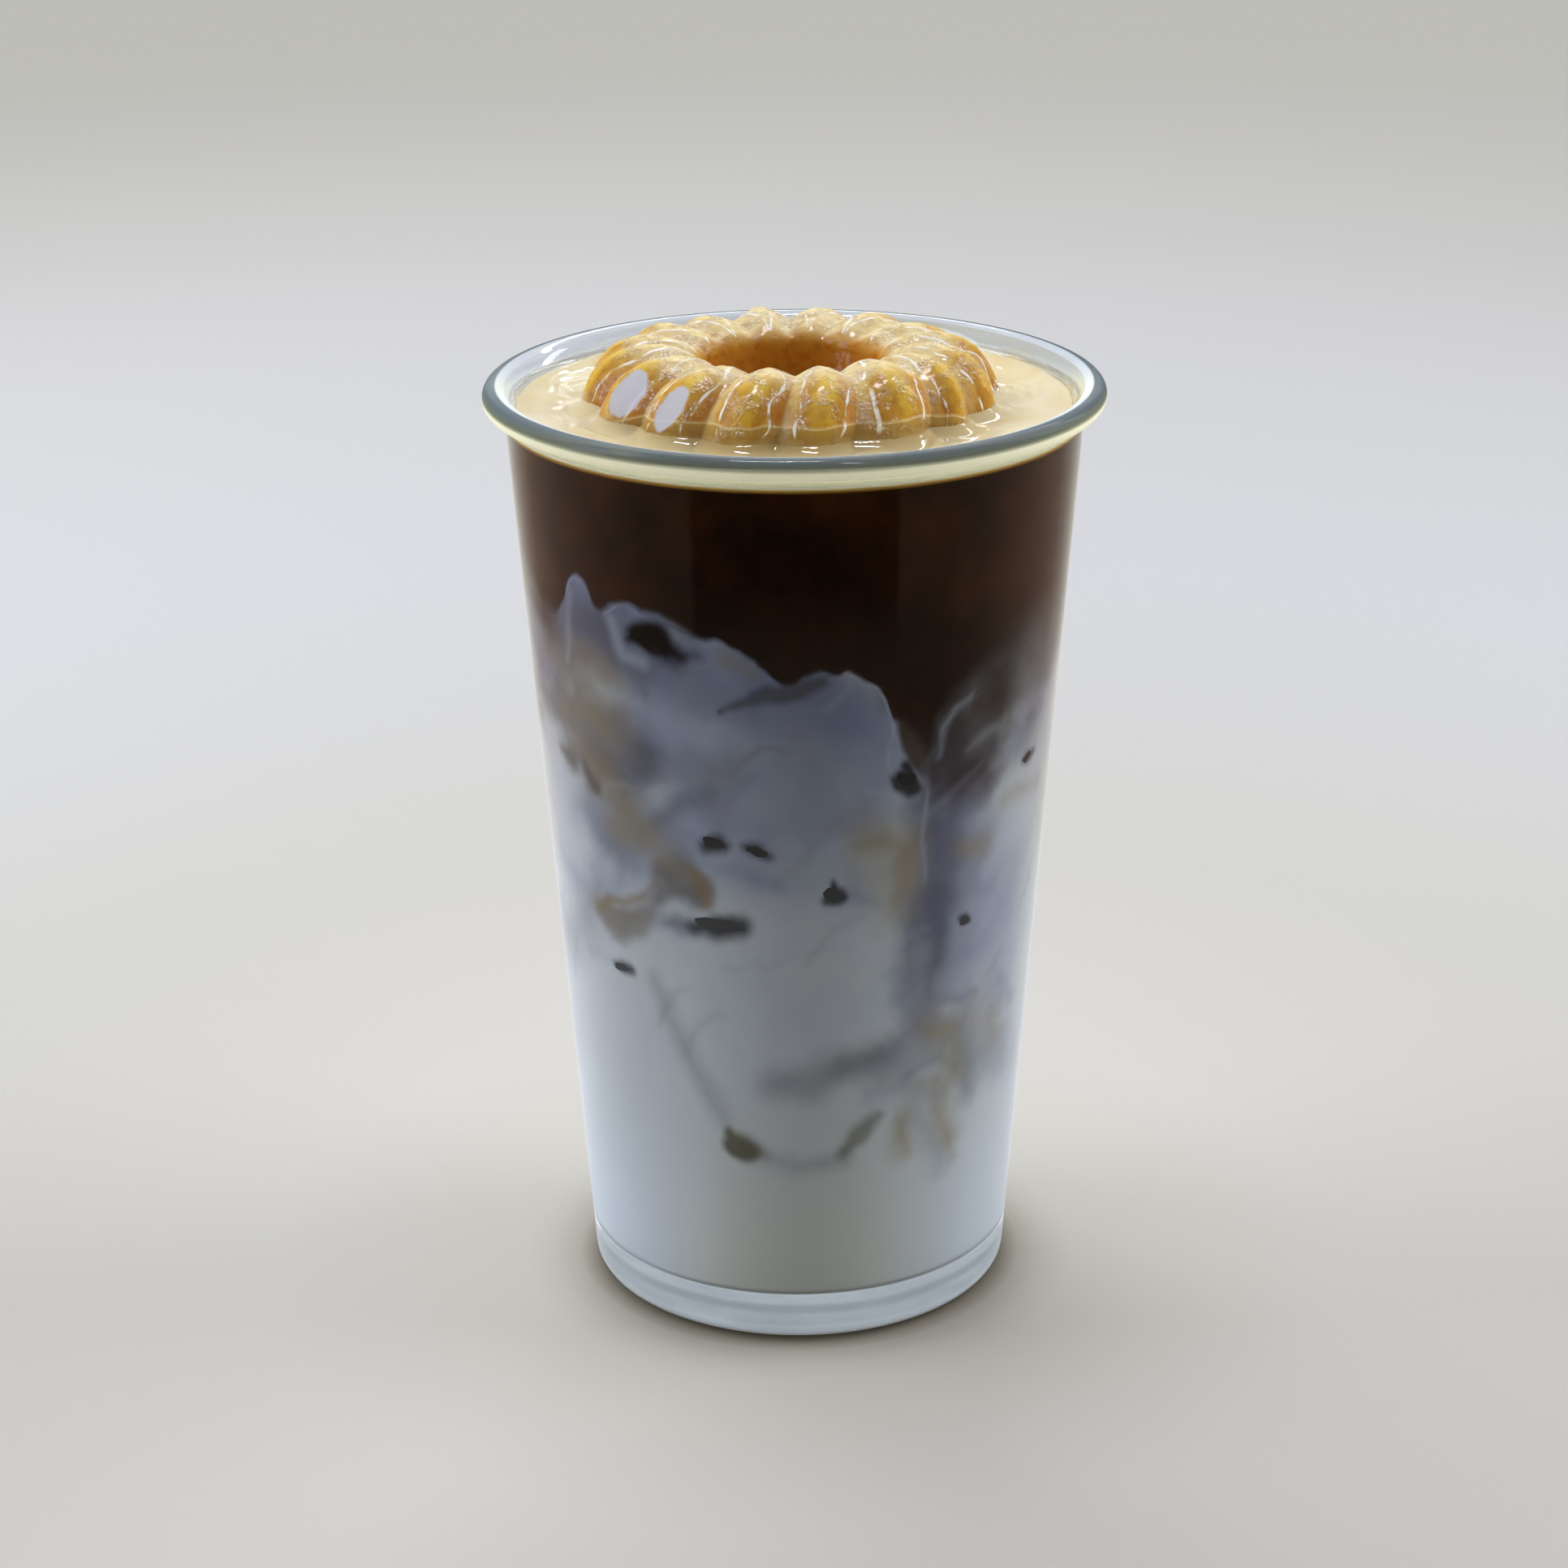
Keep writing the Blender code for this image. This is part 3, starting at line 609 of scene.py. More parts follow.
def backStrokes(setup):
    # the same kinds of stroke for the side that isn't seen, drawn at random
    draw = random.Random(setup["backSeed"])
    start, span = setup["backStart"], setup["backEnd"] - setup["backStart"]
    ice = setup["iceSpans"]
    strokes = {}
    for layer, count in setup["backCounts"].items():
        strokes[layer] = []
        for i in range(count):
            bearing = start + span * (i + draw.uniform(0.2, 0.8)) / count
            if layer == "ice":
                height = draw.uniform(*ice["height"])
                points = [(bearing + k * draw.uniform(*ice["run"]), height + k * draw.uniform(*ice["rise"]),
                           draw.uniform(*ice["width"])) for k in range(2)]
                strokes[layer].append((1.0, 0.8, points))
                continue
            spans = setup["broadSpans"] if layer in setup["broad"] else setup["thinSpans"]
            height = draw.uniform(*(setup["highSpan"] if layer in setup["high"] else setup["lowSpan"]))
            width = draw.uniform(*spans["width"])
            run = draw.uniform(*spans["run"])
            rise = draw.uniform(*setup["rise"])
            points = [(bearing + run * (k / 4 - 0.5), height + rise * math.sin(1.7 * k / 4),
                       width * (1.2 - abs(k / 4 - 0.5))) for k in range(5)]
            strength = draw.uniform(*setup["strength"])
            strokes[layer].append((strength, width * draw.uniform(*setup["softness"]), points))
    return strokes


def wispStrokes(setup):
    # thin streaks of milk, thin coffee and painted shade all round, that rise to the right as the pour has
    # turned them
    draw = random.Random(setup["wispSeed"])
    spans = setup["wispSpans"]
    strokes = {}
    for layer, count in setup["wisps"].items():
        strokes[layer] = []
        for i in range(count):
            bearing = 360 * i / count - 180
            height, run, rise, bend, width = (
                draw.uniform(*spans[name]) for name in ("height", "run", "rise", "bend", "width"))
            points = [(bearing + run * (k / 4 - 0.5),
                       height + rise * (k / 4 - 0.5) + bend * math.sin(math.pi * k / 4),
                       width * math.sin(math.pi * (k + 0.5) / 5)) for k in range(5)]
            strength = draw.uniform(*spans["strength"])
            strokes[layer].append((strength, draw.uniform(*spans["soft"]), points))
    return strokes


allStrokes = {layer: frontStrokes[layer] + back for layer, back in backStrokes(marbling).items()}
for layer, wisps in wispStrokes(marbling).items():
    allStrokes[layer] += wisps
mmPerDegree = 0.63  # along the wall at half height
# degrees aside, and the share of what lies there in a corner of the border
cornerRounding = ((-1.1, 0.15), (-0.5, 0.22), (0.0, 0.26), (0.5, 0.22), (1.1, 0.15))


def strokeLayer(strokes, bearings, heights, fray):
    # how strongly the strokes of one layer cover each point, from 0 to 1
    left = np.ones_like(bearings)
    for strength, soft, points in strokes:
        across = ((bearings - points[0][0] + 180) % 360 - 180) * mmPerDegree
        spots = [((b - points[0][0]) * mmPerDegree, z, w) for b, z, w in points]
        spotsX, spotsZ, widths = zip(*spots)
        reach = soft * 1.4 + max(widths)
        near = np.flatnonzero((across > min(spotsX) - reach) & (across < max(spotsX) + reach)
                              & (heights > min(spotsZ) - reach) & (heights < max(spotsZ) + reach))
        x, z = across[near], heights[near]
        nearest = np.full(len(near), np.inf)
        for (ax, az, aw), (bx, bz, bw) in zip(spots, spots[1:] or spots):
            runX, runZ = bx - ax, bz - az
            squared = max(runX * runX + runZ * runZ, 1e-6)
            share = np.clip(((x - ax) * runX + (z - az) * runZ) / squared, 0, 1)
            away = np.hypot(x - ax - share * runX, z - az - share * runZ)
            nearest = np.minimum(nearest, away - aw - (bw - aw) * share)
        nearest += fray[near] * soft
        left[near] *= 1 - strength * easeBetween(1, 0, (nearest + soft) / (2 * soft))
    return 1 - left


def borderAt(bearings):
    # height and softness of the edge of the milk at each bearing, with its corners rounded
    table = np.array(milkBorder, float)
    height, soft = 0.0, 0.0
    for turn, share in cornerRounding:
        wrapped = (bearings + turn + 180) % 360 - 180
        height = height + share * np.interp(wrapped, table[:, 0], table[:, 1])
        soft = soft + share * np.interp(wrapped, table[:, 0], table[:, 2])
    return height, soft


def noiseField(points, size, seed):
    # three smooth random values for each point, for a noise of that size in mm
    shift = Vector((seed * 7.3, seed * 3.1, seed * 5.7))
    return np.array([noise.noise_vector(Vector(p) / (size * mm) + shift) for p in points])


def marbleLayers(points, setup):
    # the cover of each layer of the marbling at points of the wall in metres
    noise.seed_set(setup["noiseSeed"])
    bearings = np.degrees(np.arctan2(points[:, 0], -points[:, 1]))
    heights = points[:, 2] / mm
    for seed, (size, reach) in enumerate(setup["wander"]):
        shift = noiseField(points, size, seed + 1)
        bearings = bearings + shift[:, 0] * reach / mmPerDegree
        heights = heights + shift[:, 1] * reach
    fray = sum(noiseField(points, size, seed + 31)[:, 0] * reach
               for seed, (size, reach) in enumerate(setup["fray"]))
    shadeClouds = sum(noiseField(points * (1, 1, 0.7), size, seed + 11)[:, 2] * strength
                 for seed, (size, strength) in enumerate(setup["shadeClouds"]))
    layers = {name: strokeLayer(strokes, bearings, heights, fray) for name, strokes in allStrokes.items()}
    border, soft = borderAt(bearings)
    frayed = setup["borderFray"] * fray / np.maximum(soft, 1)
    coffee = easeBetween(0, 1, 0.5 + (heights - border) / (2 * soft) + frayed)
    mixed = coffee + (1 - coffee) * layers["coffee"]
    layers["coffee"] = np.clip(mixed * (1 - layers["milk"]), 0, 1)
    layers["milk"] = layers["milk"] * (1 - setup["milkInCoffee"] * mixed)
    # painted shade, mottled, that grows with height over the milk
    high = easeBetween(0, 1, (heights - setup["cloudsFrom"]) / setup["cloudsOver"])
    layers["dusk"] = np.clip(layers["dusk"] + shadeClouds * high * setup["cloudsStrength"], 0, 1)
    return layers


def marbleAttributes(piece):
    # the material reads how strongly each layer covers the wall from the points of the piece
    points = np.empty(len(piece.data.vertices) * 3)
    piece.data.vertices.foreach_get("co", points)
    for name, values in marbleLayers(points.reshape(-1, 3), marbling).items():
        setPointValues(piece, name, values)


# the milk's colour, and the painted light and shade of its foot: warmer and greyer in the middle, bluer at
# the sides
milkColour, milkFootPaintedShade, milkFootPaintedLight = "C8C9C9", "CBC8B9", "D2D6DC"
# the colour that each layer brings; the bluish grey one is painted shade
layerColours = {"dusk": "8D92AA", "smoke": "5C5A60", "violet": "4C4A62", "tan": "9C8A6A", "milk": "C6CAD6",
                "umber": "5C4E43", "olive": "48400E", "amber": "886A36", "ice": "090807"}
underLayers, overLayers = ("dusk", "smoke", "violet", "tan"), ("milk", "umber", "olive", "amber", "ice")
coffeeHides = 1.9  # the power by which thin coffee hides what lies under it
coffeeStops = [(0.0, "6B6468"), (0.35, "594D50"), (0.65, "43342F"), (0.85, "402A1C"), (1.0, "46290E")]
coffeeGlow = [(0.40, "7E7A76"), (0.55, "B8A294"), (0.75, "E0C8B0")]


def drinkMaterial():
    # Cold milk and coffee against the glass: milk is bluish where it is thick, and grey violet to brown where
    # coffee thins it. The wall has the gloss, and they have none: IOR 1.12, roughness 0.6.
    material, tree, output = newMaterial("milkAndCoffee")
    place = addNode(tree, "TexCoord").outputs["Object"]
    aside, _, height = addNode(tree, "SeparateXYZ", {}, {"Vector": place}).outputs

    def over(name, colour):
        return mix(tree, pointValue(tree, name), colour, linear(layerColours[name]))

    # painted light: low down, the milk is painted paler and bluer at the sides of the glass, where the side
    # light falls, and warmer and greyer in the middle, in shade
    side = spread(tree, calc(tree, "ABSOLUTE", aside), 6 * mm, 26 * mm, smooth=True)
    low = mix(tree, side, linear(milkFootPaintedShade), linear(milkFootPaintedLight))
    colour = mix(tree, spread(tree, height, 12 * mm, 42 * mm, 1.0, 0.0), linear(milkColour), low)
    for name in underLayers:
        colour = over(name, colour)
    # fine curdling, 1.2 mm, at the edges between the two
    curds = spread(tree, speckle(tree, place, 1.2, 3.0), 0.0, 1.0, -0.05, 0.05)
    amount = calc(tree, "ADD", pointValue(tree, "coffee"), curds, clamp=True)
    left = calc(tree, "SUBTRACT", 1.0, pointValue(tree, "coffee"), clamp=True)
    hidden = calc(tree, "SUBTRACT", 1.0, calc(tree, "POWER", left, coffeeHides))
    # the coffee is unevenly thick, and redder where light gets through it
    glow = ramp(tree, speckle(tree, place, 14.0, 4.0), coffeeGlow)
    coffee = mix(tree, 1.0, ramp(tree, amount, coffeeStops), glow, "MULTIPLY")
    colour = mix(tree, hidden, colour, coffee)
    for name in overLayers:
        colour = over(name, colour)
    return finishMaterial(material, tree, output, {
        "Base Color": colour, "Roughness": 0.6, "IOR": 1.12, "Specular IOR Level": 0.0,
    })


def milkUndersideMaterial():
    # The underside of the milk, seen only through the thick glass foot: it glows with the light that has
    # spread down through the milk. No gloss of its own, roughness 0.7.
    material, tree, output = newMaterial("milkUnderside")
    place = addNode(tree, "TexCoord").outputs["Object"]
    colour = ramp(tree, speckle(tree, place, 9.0, 3.0), [(0.3, "C2CAD2"), (0.7, "D6DCE2")])
    return finishMaterial(material, tree, output, {
        "Base Color": colour, "Roughness": 0.7, "Specular IOR Level": 0.0,
        "Emission Color": colour, "Emission Strength": drinkShape["underGlow"],
    })


def columnBearings(shape):
    # close together on the front, where the marbling is seen, and wider apart behind
    front, back = shape["frontColumns"], shape["backColumns"]
    return np.concatenate([np.arange(front) * 180 / front - 90, np.arange(back) * 180 / back + 90])


def roundPoint(r, bearing, z):
    # a point in metres from a radius and a height in mm and a bearing in degrees
    angle = math.radians(bearing - 90)
    return r * mm * math.cos(angle), r * mm * math.sin(angle), z * mm


def wallRow(heightsRow, bearings, reach):
    # a row of points round the inside of the wall, one height in mm for each bearing
    return [roundPoint(innerWall(z) + reach, b, z) for b, z in zip(bearings, heightsRow)]


def borderRows(edge, bearings, reach, lift, shares):
    # rows further in than the border at the wall, where it evens out towards the middle of the drink
    middle = drinkShape["middleBorder"]
    return [[roundPoint((innerWall(z) + reach) * share, b,
                        middle + lift + (z - middle) * easeBetween(0, 1, share) ** drinkShape["evensOut"])
             for b, z in zip(bearings, edge)] for share in shares]


def roundedOff(row):
    # each height averaged with the ones beside it
    return (np.roll(row, 1) + row + np.roll(row, -1)) / 3


def buildMilk(material):
    shape = drinkShape
    reach = shape["intoWall"]
    bearings = columnBearings(shape)
    steps = len(bearings)
    top = roundedOff(borderAt(bearings)[0])
    fillet = glassShape["floorFillet"]
    floorZ = glassShape["floorHeight"] - reach
    filletR = innerWall(glassShape["floorHeight"] + fillet) + reach
    corner = arcPoints(filletR - fillet, floorZ + fillet, fillet, -90, 0, 8)
    corner.insert(0, (filletR * 0.45, floorZ))
    rows = [[roundPoint(r, b, z) for b in bearings] for r, z in corner]
    bottom = floorZ + fillet
    climbs = int((top.max() - bottom) / shape["rowHeight"])
    rows += [wallRow(bottom + (top - bottom) * i / climbs, bearings, reach) for i in range(1, climbs + 1)]
    rows += borderRows(top, bearings, reach, 0.0, shape["inwards"])
    under = shape["floorRows"] * steps
    slots = [1] * under + [0] * ((len(rows) - 1) * steps - under) + [1] * steps + [0] * steps
    materials = [material, milkUndersideMaterial()]
    piece = cappedPiece("milkLayer", rows, floorZ, shape["middleBorder"], materials, slots)
    marbleAttributes(piece)
    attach(piece, "root")
    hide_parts("milk")


def buildCoffee(material):
    shape = drinkShape
    reach = shape["intoWall"] - 0.01
    bearings = columnBearings(shape)
    low = roundedOff(borderAt(bearings)[0]) - shape["overlap"]
    high = shape["creamLevel"] - shape["creamAtWall"]
    rows = borderRows(low, bearings, reach, shape["lift"], shape["inwards"][::-1])
    climbs = int((high - low.min()) / shape["rowHeight"])
    rows += [wallRow(low + (high - low) * i / climbs, bearings, reach) for i in range(climbs + 1)]
    for share in shape["coffeeTop"]:
        z = high - (1 - share) * shape["topDips"]
        rows.append([(p[0] * share, p[1] * share, z * mm) for p in rows[-1]])
    foot = shape["middleBorder"] + shape["lift"]
    piece = cappedPiece("coffeeLayer", rows, foot, high - shape["middleDips"], [material])
    marbleAttributes(piece)
    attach(piece, "root")
    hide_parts("coffee")


# Ice: lumps sunk in the drink, seen only where they touch the wall

iceShape = {
    # bearing in degrees, height, half length and half height in mm, and how many degrees they lean
    "front": [
        (-31.0, 110.7, 3.0, 1.7, -20), (-18.9, 81.3, 1.9, 1.1, -6), (-8.8, 80.4, 1.8, 0.75, -18),
        (7.5, 73.7, 1.3, 1.2, 40), (-18.6, 68.4, 3.9, 1.2, -2), (-47.3, 57.7, 2.0, 0.75, 6),
        (43.0, 65.6, 1.2, 0.7, 0), (62.6, 87.7, 1.4, 0.8, 20), (24.6, 90.4, 1.9, 1.2, -28),
    ],
    # more of them round the back, each of these five drawn between two values
    "behind": 7, "behindSeed": 31, "behindSpans": ((100, 260), (60, 105), (1.8, 4.0), (1.0, 1.9), (-25, 25)),
    "reach": 0.09,  # mm past the inner wall, in front of the drink
    # how deep under the wall each ring of points lies in mm, and its size beside the outline
    "rings": [(0.0, 0.4), (0.0, 0.68), (0.02, 0.78), (0.1, 0.86), (0.5, 1.1), (2.0, 1.6), (5.0, 1.9),
              (9.0, 1.6), (12.0, 0.8)],
    "deepest": 12.5,  # mm
    "around": 40, "square": 0.88,  # points round, and the power that squares the outline off
    "chips": 0.16, "chipSize": 0.8,  # how far the edge is chipped, and how wide the chips are
}


def icePoint(spot, number, angle, depth, scale):
    # a point in metres at an angle round one lump, that deep under the wall
    shape = iceShape
    bearing, high, halfLength, halfHeight, lean = spot
    c, s = math.cos(angle), math.sin(angle)
    place = Vector((c / shape["chipSize"], s / shape["chipSize"], number * 7.3))
    chip = 1 + noise.noise(place) * shape["chips"] * 2
    along = halfLength * scale * chip * math.copysign(abs(c) ** shape["square"], c)
    up = halfHeight * scale * chip * math.copysign(abs(s) ** shape["square"], s)
    lean = math.radians(lean)
    along, up = along * math.cos(lean) - up * math.sin(lean), along * math.sin(lean) + up * math.cos(lean)
    z = high + up
    r = insideRadius(z) + shape["reach"]
    turn = math.radians(bearing - 90) + along / r
    return (r - depth) * mm * math.cos(turn), (r - depth) * mm * math.sin(turn), z * mm


def iceMaterial():
    # Clear ice with black coffee behind it: nearly black, browner and greyer in places. In coffee it mirrors
    # almost nothing. IOR 1.31, roughness 0.5.
    material, tree, output = newMaterial("iceInCoffee")
    place = addNode(tree, "TexCoord").outputs["Object"]
    colour = ramp(tree, speckle(tree, place, 2.5, 3.0), [(0.32, "030303"), (0.5, "0A0807"), (0.68, "221C17")])
    return finishMaterial(material, tree, output, {
        "Base Color": colour, "Roughness": 0.5, "IOR": 1.31, "Specular IOR Level": 0.0,
    })


def buildIce():
    shape = iceShape
    draw = random.Random(shape["behindSeed"])
    spots = list(shape["front"])
    for _ in range(shape["behind"]):
        spots.append([draw.uniform(*span) for span in shape["behindSpans"]])
    points, faces = [], []
    around = shape["around"]
    for number, spot in enumerate(spots):
        first = len(points)
        angles = [2 * math.pi * step / around for step in range(around)]
        for depth, scale in shape["rings"]:
            points += [icePoint(spot, number, angle, depth, scale) for angle in angles]
        count = len(shape["rings"])
        faces += [tuple(first + index for index in reversed(face)) for face in closedRows(count, around)]
        points += [icePoint(spot, number, 0.0, depth, 0.0) for depth in (0.0, shape["deepest"])]
        faces += capFan(first, around, len(points) - 2, True)
        faces += capFan(first + (count - 1) * around, around, len(points) - 1, False)
    piece = meshPiece("iceLumps", points, faces, [iceMaterial()])
    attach(piece, "root")
    print("iceLumps:", len(faces), "faces")


# Ring of frozen coffee cream

ringValues = ("groove", "across", "lowness", "film", "waterEdge", "flat")  # what its points carry

# in mm and degrees, with heights over the cream
ringShape = {
    "outer": 30.5, "crest": 20.8, "height": 9.2,
    "holeTop": 13.0, "holeEdge": 5.0, "holeFoot": 10.5, "sink": 3.0,
    # shares of the section where its straight foot ends, its crest lies and the hole's straight side starts
    "footEnds": 0.12, "crestAt": 0.58, "holeStarts": 0.85, "plump": 0.95,
    "holeFlutes": 0.3,  # share of the way into the hole where the flutes begin to fade
    "place": (-0.5, 5.0), "tiltBack": 1.5,
    "grooves": (-20, 2.2, 23.8, 49.5, 67.5, 90, 113, 135.8, 158.4, 181, 203.6, 226.5, 249, 271.5, 294, 318),
    "slant": -6.5,  # degrees that a flute leans from the crest to its foot
    "depthFoot": 2.3, "depthCrest": 1.4, "roundFoot": 0.9, "roundCrest": 1.4, "uneven": 0.035, "seed": 11,
    "stepsPerFlute": 40, "rows": 136,
    "lumps": [(4.0, 0.16), (1.5, 0.09), (0.7, 0.035)],  # noise size and height in mm of the melting skin
    "filmFront": 3.0, "filmBack": 0.7,  # mm that cream has wetted the ring over its level
    "frontFrom": 0.72, "frontOver": 0.2,  # how far round (front is 1, back is 0) the film climbs
    "filmRipple": 0.5, "filmRippleSize": 3.0,
    # where the melt water's edge, with its painted highlight line, runs on a flute: share of the section, and
    # share of the flute's half width
    "waterEdge": [(0.0, 0.48), (0.16, 0.55), (0.3, 0.62), (0.45, 0.72), (0.52, 0.70), (0.6, 0.42),
                  (0.68, 0.15), (0.75, 0.05), (0.8, -0.6), (1.0, -0.6)],
    "waterUneven": 0.09,
    # places where the skin has melted flat, which way the flats face, how deep they are cut and how they bend
    "flats": [(-24.0, -12.0, 139.9), (-17.7, -18.7, 139.9)],
    "flatFacing": (-0.52, -0.64, 0.56), "flatDepth": 0.5,
    "flatReach": 5.2, "flatBend": 18.0, "flatEdge": 0.08,
}


def ringSection(shape, share):
    # (r, z, flute depth, lowness) along the section, from the foot outside (0) over the crest to the foot of
    # the hole (1)
    outer, crest, high, edge = shape["outer"], shape["crest"], shape["height"], shape["holeEdge"]
    deep, shallow = shape["depthFoot"], shape["depthCrest"]
    footEnds, crestAt, holeStarts = shape["footEnds"], shape["crestAt"], shape["holeStarts"]
    if share < footEnds:
        return outer, -shape["sink"] * (1 - share / footEnds), deep, 1.0
    if share < crestAt:
        turn = (share - footEnds) / (crestAt - footEnds)
        angle = math.pi / 2 * turn
        r = crest + (outer - crest) * math.cos(angle) ** shape["plump"]
        return r, high * math.sin(angle), deep + (shallow - deep) * turn, 1 - turn
    if share < holeStarts:
        turn = (share - crestAt) / (holeStarts - crestAt)
        angle = math.pi / 2 * turn
        r = crest - (crest - shape["holeTop"]) * math.sin(angle)
        left = 1 - easeBetween(0, 1, (turn - shape["holeFlutes"]) / (1 - shape["holeFlutes"]))
        return r, edge + (high - edge) * math.cos(angle), shallow * float(left), 0.0
    turn = (share - holeStarts) / (1 - holeStarts)
    r = shape["holeTop"] + (shape["holeFoot"] - shape["holeTop"]) * turn
    return r, edge - (edge + shape["sink"]) * turn, 0.0, 0.0


def fluteAt(shape, turn):
    # which flute, how far across it, and the bearing there, for a turn that counts flutes
    flute, across = int(turn) % len(shape["grooves"]), turn % 1.0
    start = shape["grooves"][flute]
    end = shape["grooves"][(flute + 1) % len(shape["grooves"])]
    return flute, across, start + ((end - start) % 360) * across


def ringPoint(shape, fullness, turn, share):
    # point of the ring in mm about its own middle, how deep in a groove it lies, how far across its flute,
    # and how near the foot (1) or the hole's foot (-1)
    r, z, depth, low = ringSection(shape, share)
    flute, across, bearing = fluteAt(shape, turn)
    roundness = shape["roundCrest"] + (shape["roundFoot"] - shape["roundCrest"]) * low
    lobe = math.sin(math.pi * across) ** roundness
    full = 1 + (fullness[flute] - 1) * lobe
    angle = math.radians(bearing + shape["slant"] * low - 90)
    cut = depth * (1 - lobe)
    steep = min(max((r - shape["crest"]) / (shape["outer"] - shape["crest"]), 0.0), 1.0)
    high = max(z / shape["height"], 0.0)
    r -= cut * steep
    z = z if z <= -shape["sink"] else max(z * full - cut * high, -shape["sink"])
    inward = max(share - shape["crestAt"], 0.0) / (1 - shape["crestAt"])
    look = (cut / shape["depthFoot"], 2 * across - 1, low - inward)
    return r * math.cos(angle), r * math.sin(angle), z, look


def ringLook(shape, share, turn, point, look):
    # how far in mm the cream's film reaches over a point of the ring, and how far the point lies outside the
    # melt water on its flute
    x, y, z = point
    ripple = noise.noise(Vector((x, y, 4.0)) / shape["filmRippleSize"]) * shape["filmRipple"]
    facing = 0.5 + 0.5 * math.cos(math.atan2(y, x) + math.pi / 2)
    front = float(easeBetween(0, 1, (facing - shape["frontFrom"]) / shape["frontOver"]))
    top = shape["filmBack"] + (shape["filmFront"] - shape["filmBack"]) * front
    side = math.copysign(1.0, look[1])
    wander = noise.noise(Vector((share * 7, int(turn) * 5.0, side * 9.0))) * shape["waterUneven"] * 2
    edgeShares, edgePlaces = zip(*shape["waterEdge"])
    edge = float(np.interp(share + wander * 0.3, edgeShares, edgePlaces)) + wander
    halfWidth = math.pi * math.hypot(x, y) / len(shape["grooves"])
    return top + ripple - z, (abs(look[1]) - edge) * halfWidth


def meltLumps(piece, shape):
    # the skin has melted into shallow lumps
    normals = [v.normal.copy() for v in piece.data.vertices]
    for vertex, normal in zip(piece.data.vertices, normals):
        for seed, (size, high) in enumerate(shape["lumps"]):
            vertex.co += normal * noise.noise(vertex.co / (size * mm) + Vector((seed, 3, 9))) * high * mm


def meltFlats(piece, shape):
    # patches have melted flat; how flat each point is, from 0 to 1
    facing = Vector(shape["flatFacing"]).normalized()
    along = (Vector((0, 0, 1)) - facing * facing.z).normalized()
    flat = [0.0] * len(piece.data.vertices)
    for middle in shape["flats"]:
        near = [v for v in piece.data.vertices if (v.co / mm - Vector(middle)).length < shape["flatReach"]]
        peak = max((v.co.copy() for v in near), key=lambda co: co.dot(facing))
        for vertex in near:
            bend = (vertex.co - peak).dot(along) ** 2 / (2 * shape["flatBend"] * mm)
            over = (vertex.co - peak).dot(facing) + shape["flatDepth"] * mm + bend
            if over > 0:
                vertex.co -= facing * over
                flat[vertex.index] = min(over / (shape["flatEdge"] * mm), 1.0)
    return flat


def buildRing():
    shape = ringShape
    draw = random.Random(shape["seed"])
    flutes = len(shape["grooves"])
    fullness = [1 + shape["uneven"] * draw.uniform(-1, 1) for _ in range(flutes)]
    columns = flutes * shape["stepsPerFlute"]
    tilt = Matrix.Rotation(math.radians(-shape["tiltBack"]), 3, "X")
    middle = Vector((*shape["place"], drinkShape["creamLevel"]))
    points, looks = [], []
    for row in range(shape["rows"] + 1):
        for step in range(columns):
            turn, share = step / shape["stepsPerFlute"], row / shape["rows"]
            x, y, z, look = ringPoint(shape, fullness, turn, share)
            points.append(tilt @ Vector((x, y, z)) + middle)
            looks.append((*look, *ringLook(shape, share, turn, (x, y, z), look)))
    faces = closedRows(shape["rows"] + 1, columns)
    last = shape["rows"] * columns
    for step in range(columns):
        after = (step + 1) % columns
        faces.append((last + step, last + after, after, step))
    piece = meshPiece("frozenRing", [p * mm for p in points], faces, [frozenCreamMaterial()])
    meltLumps(piece, shape)
    flat = meltFlats(piece, shape)
    piece.data.update()
    for name, values in zip(ringValues, [*np.array(looks).T, flat]):
        setPointValues(piece, name, values)
    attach(piece, "root")
    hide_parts("ring")
    print("frozenRing:", len(faces), "faces")


# from the crest of a lobe (0) into the groove (1), and from 0.2 mm under the cream to 3.2 mm over it
frozenTones = [(0.0, "D6AE4E"), (0.12, "C99C42"), (0.30, "BC8E3E"), (0.5, "D4AE5C"), (0.8, "DDC488")]
wettedTones = [(0.0, "E2D2A0"), (0.09, "E2D2A0"), (0.14, "A88A48"), (0.5, "98783E"), (0.72, "B09460"),
               (0.88, "D2BD8A"), (1.0, "E4D6AC")]


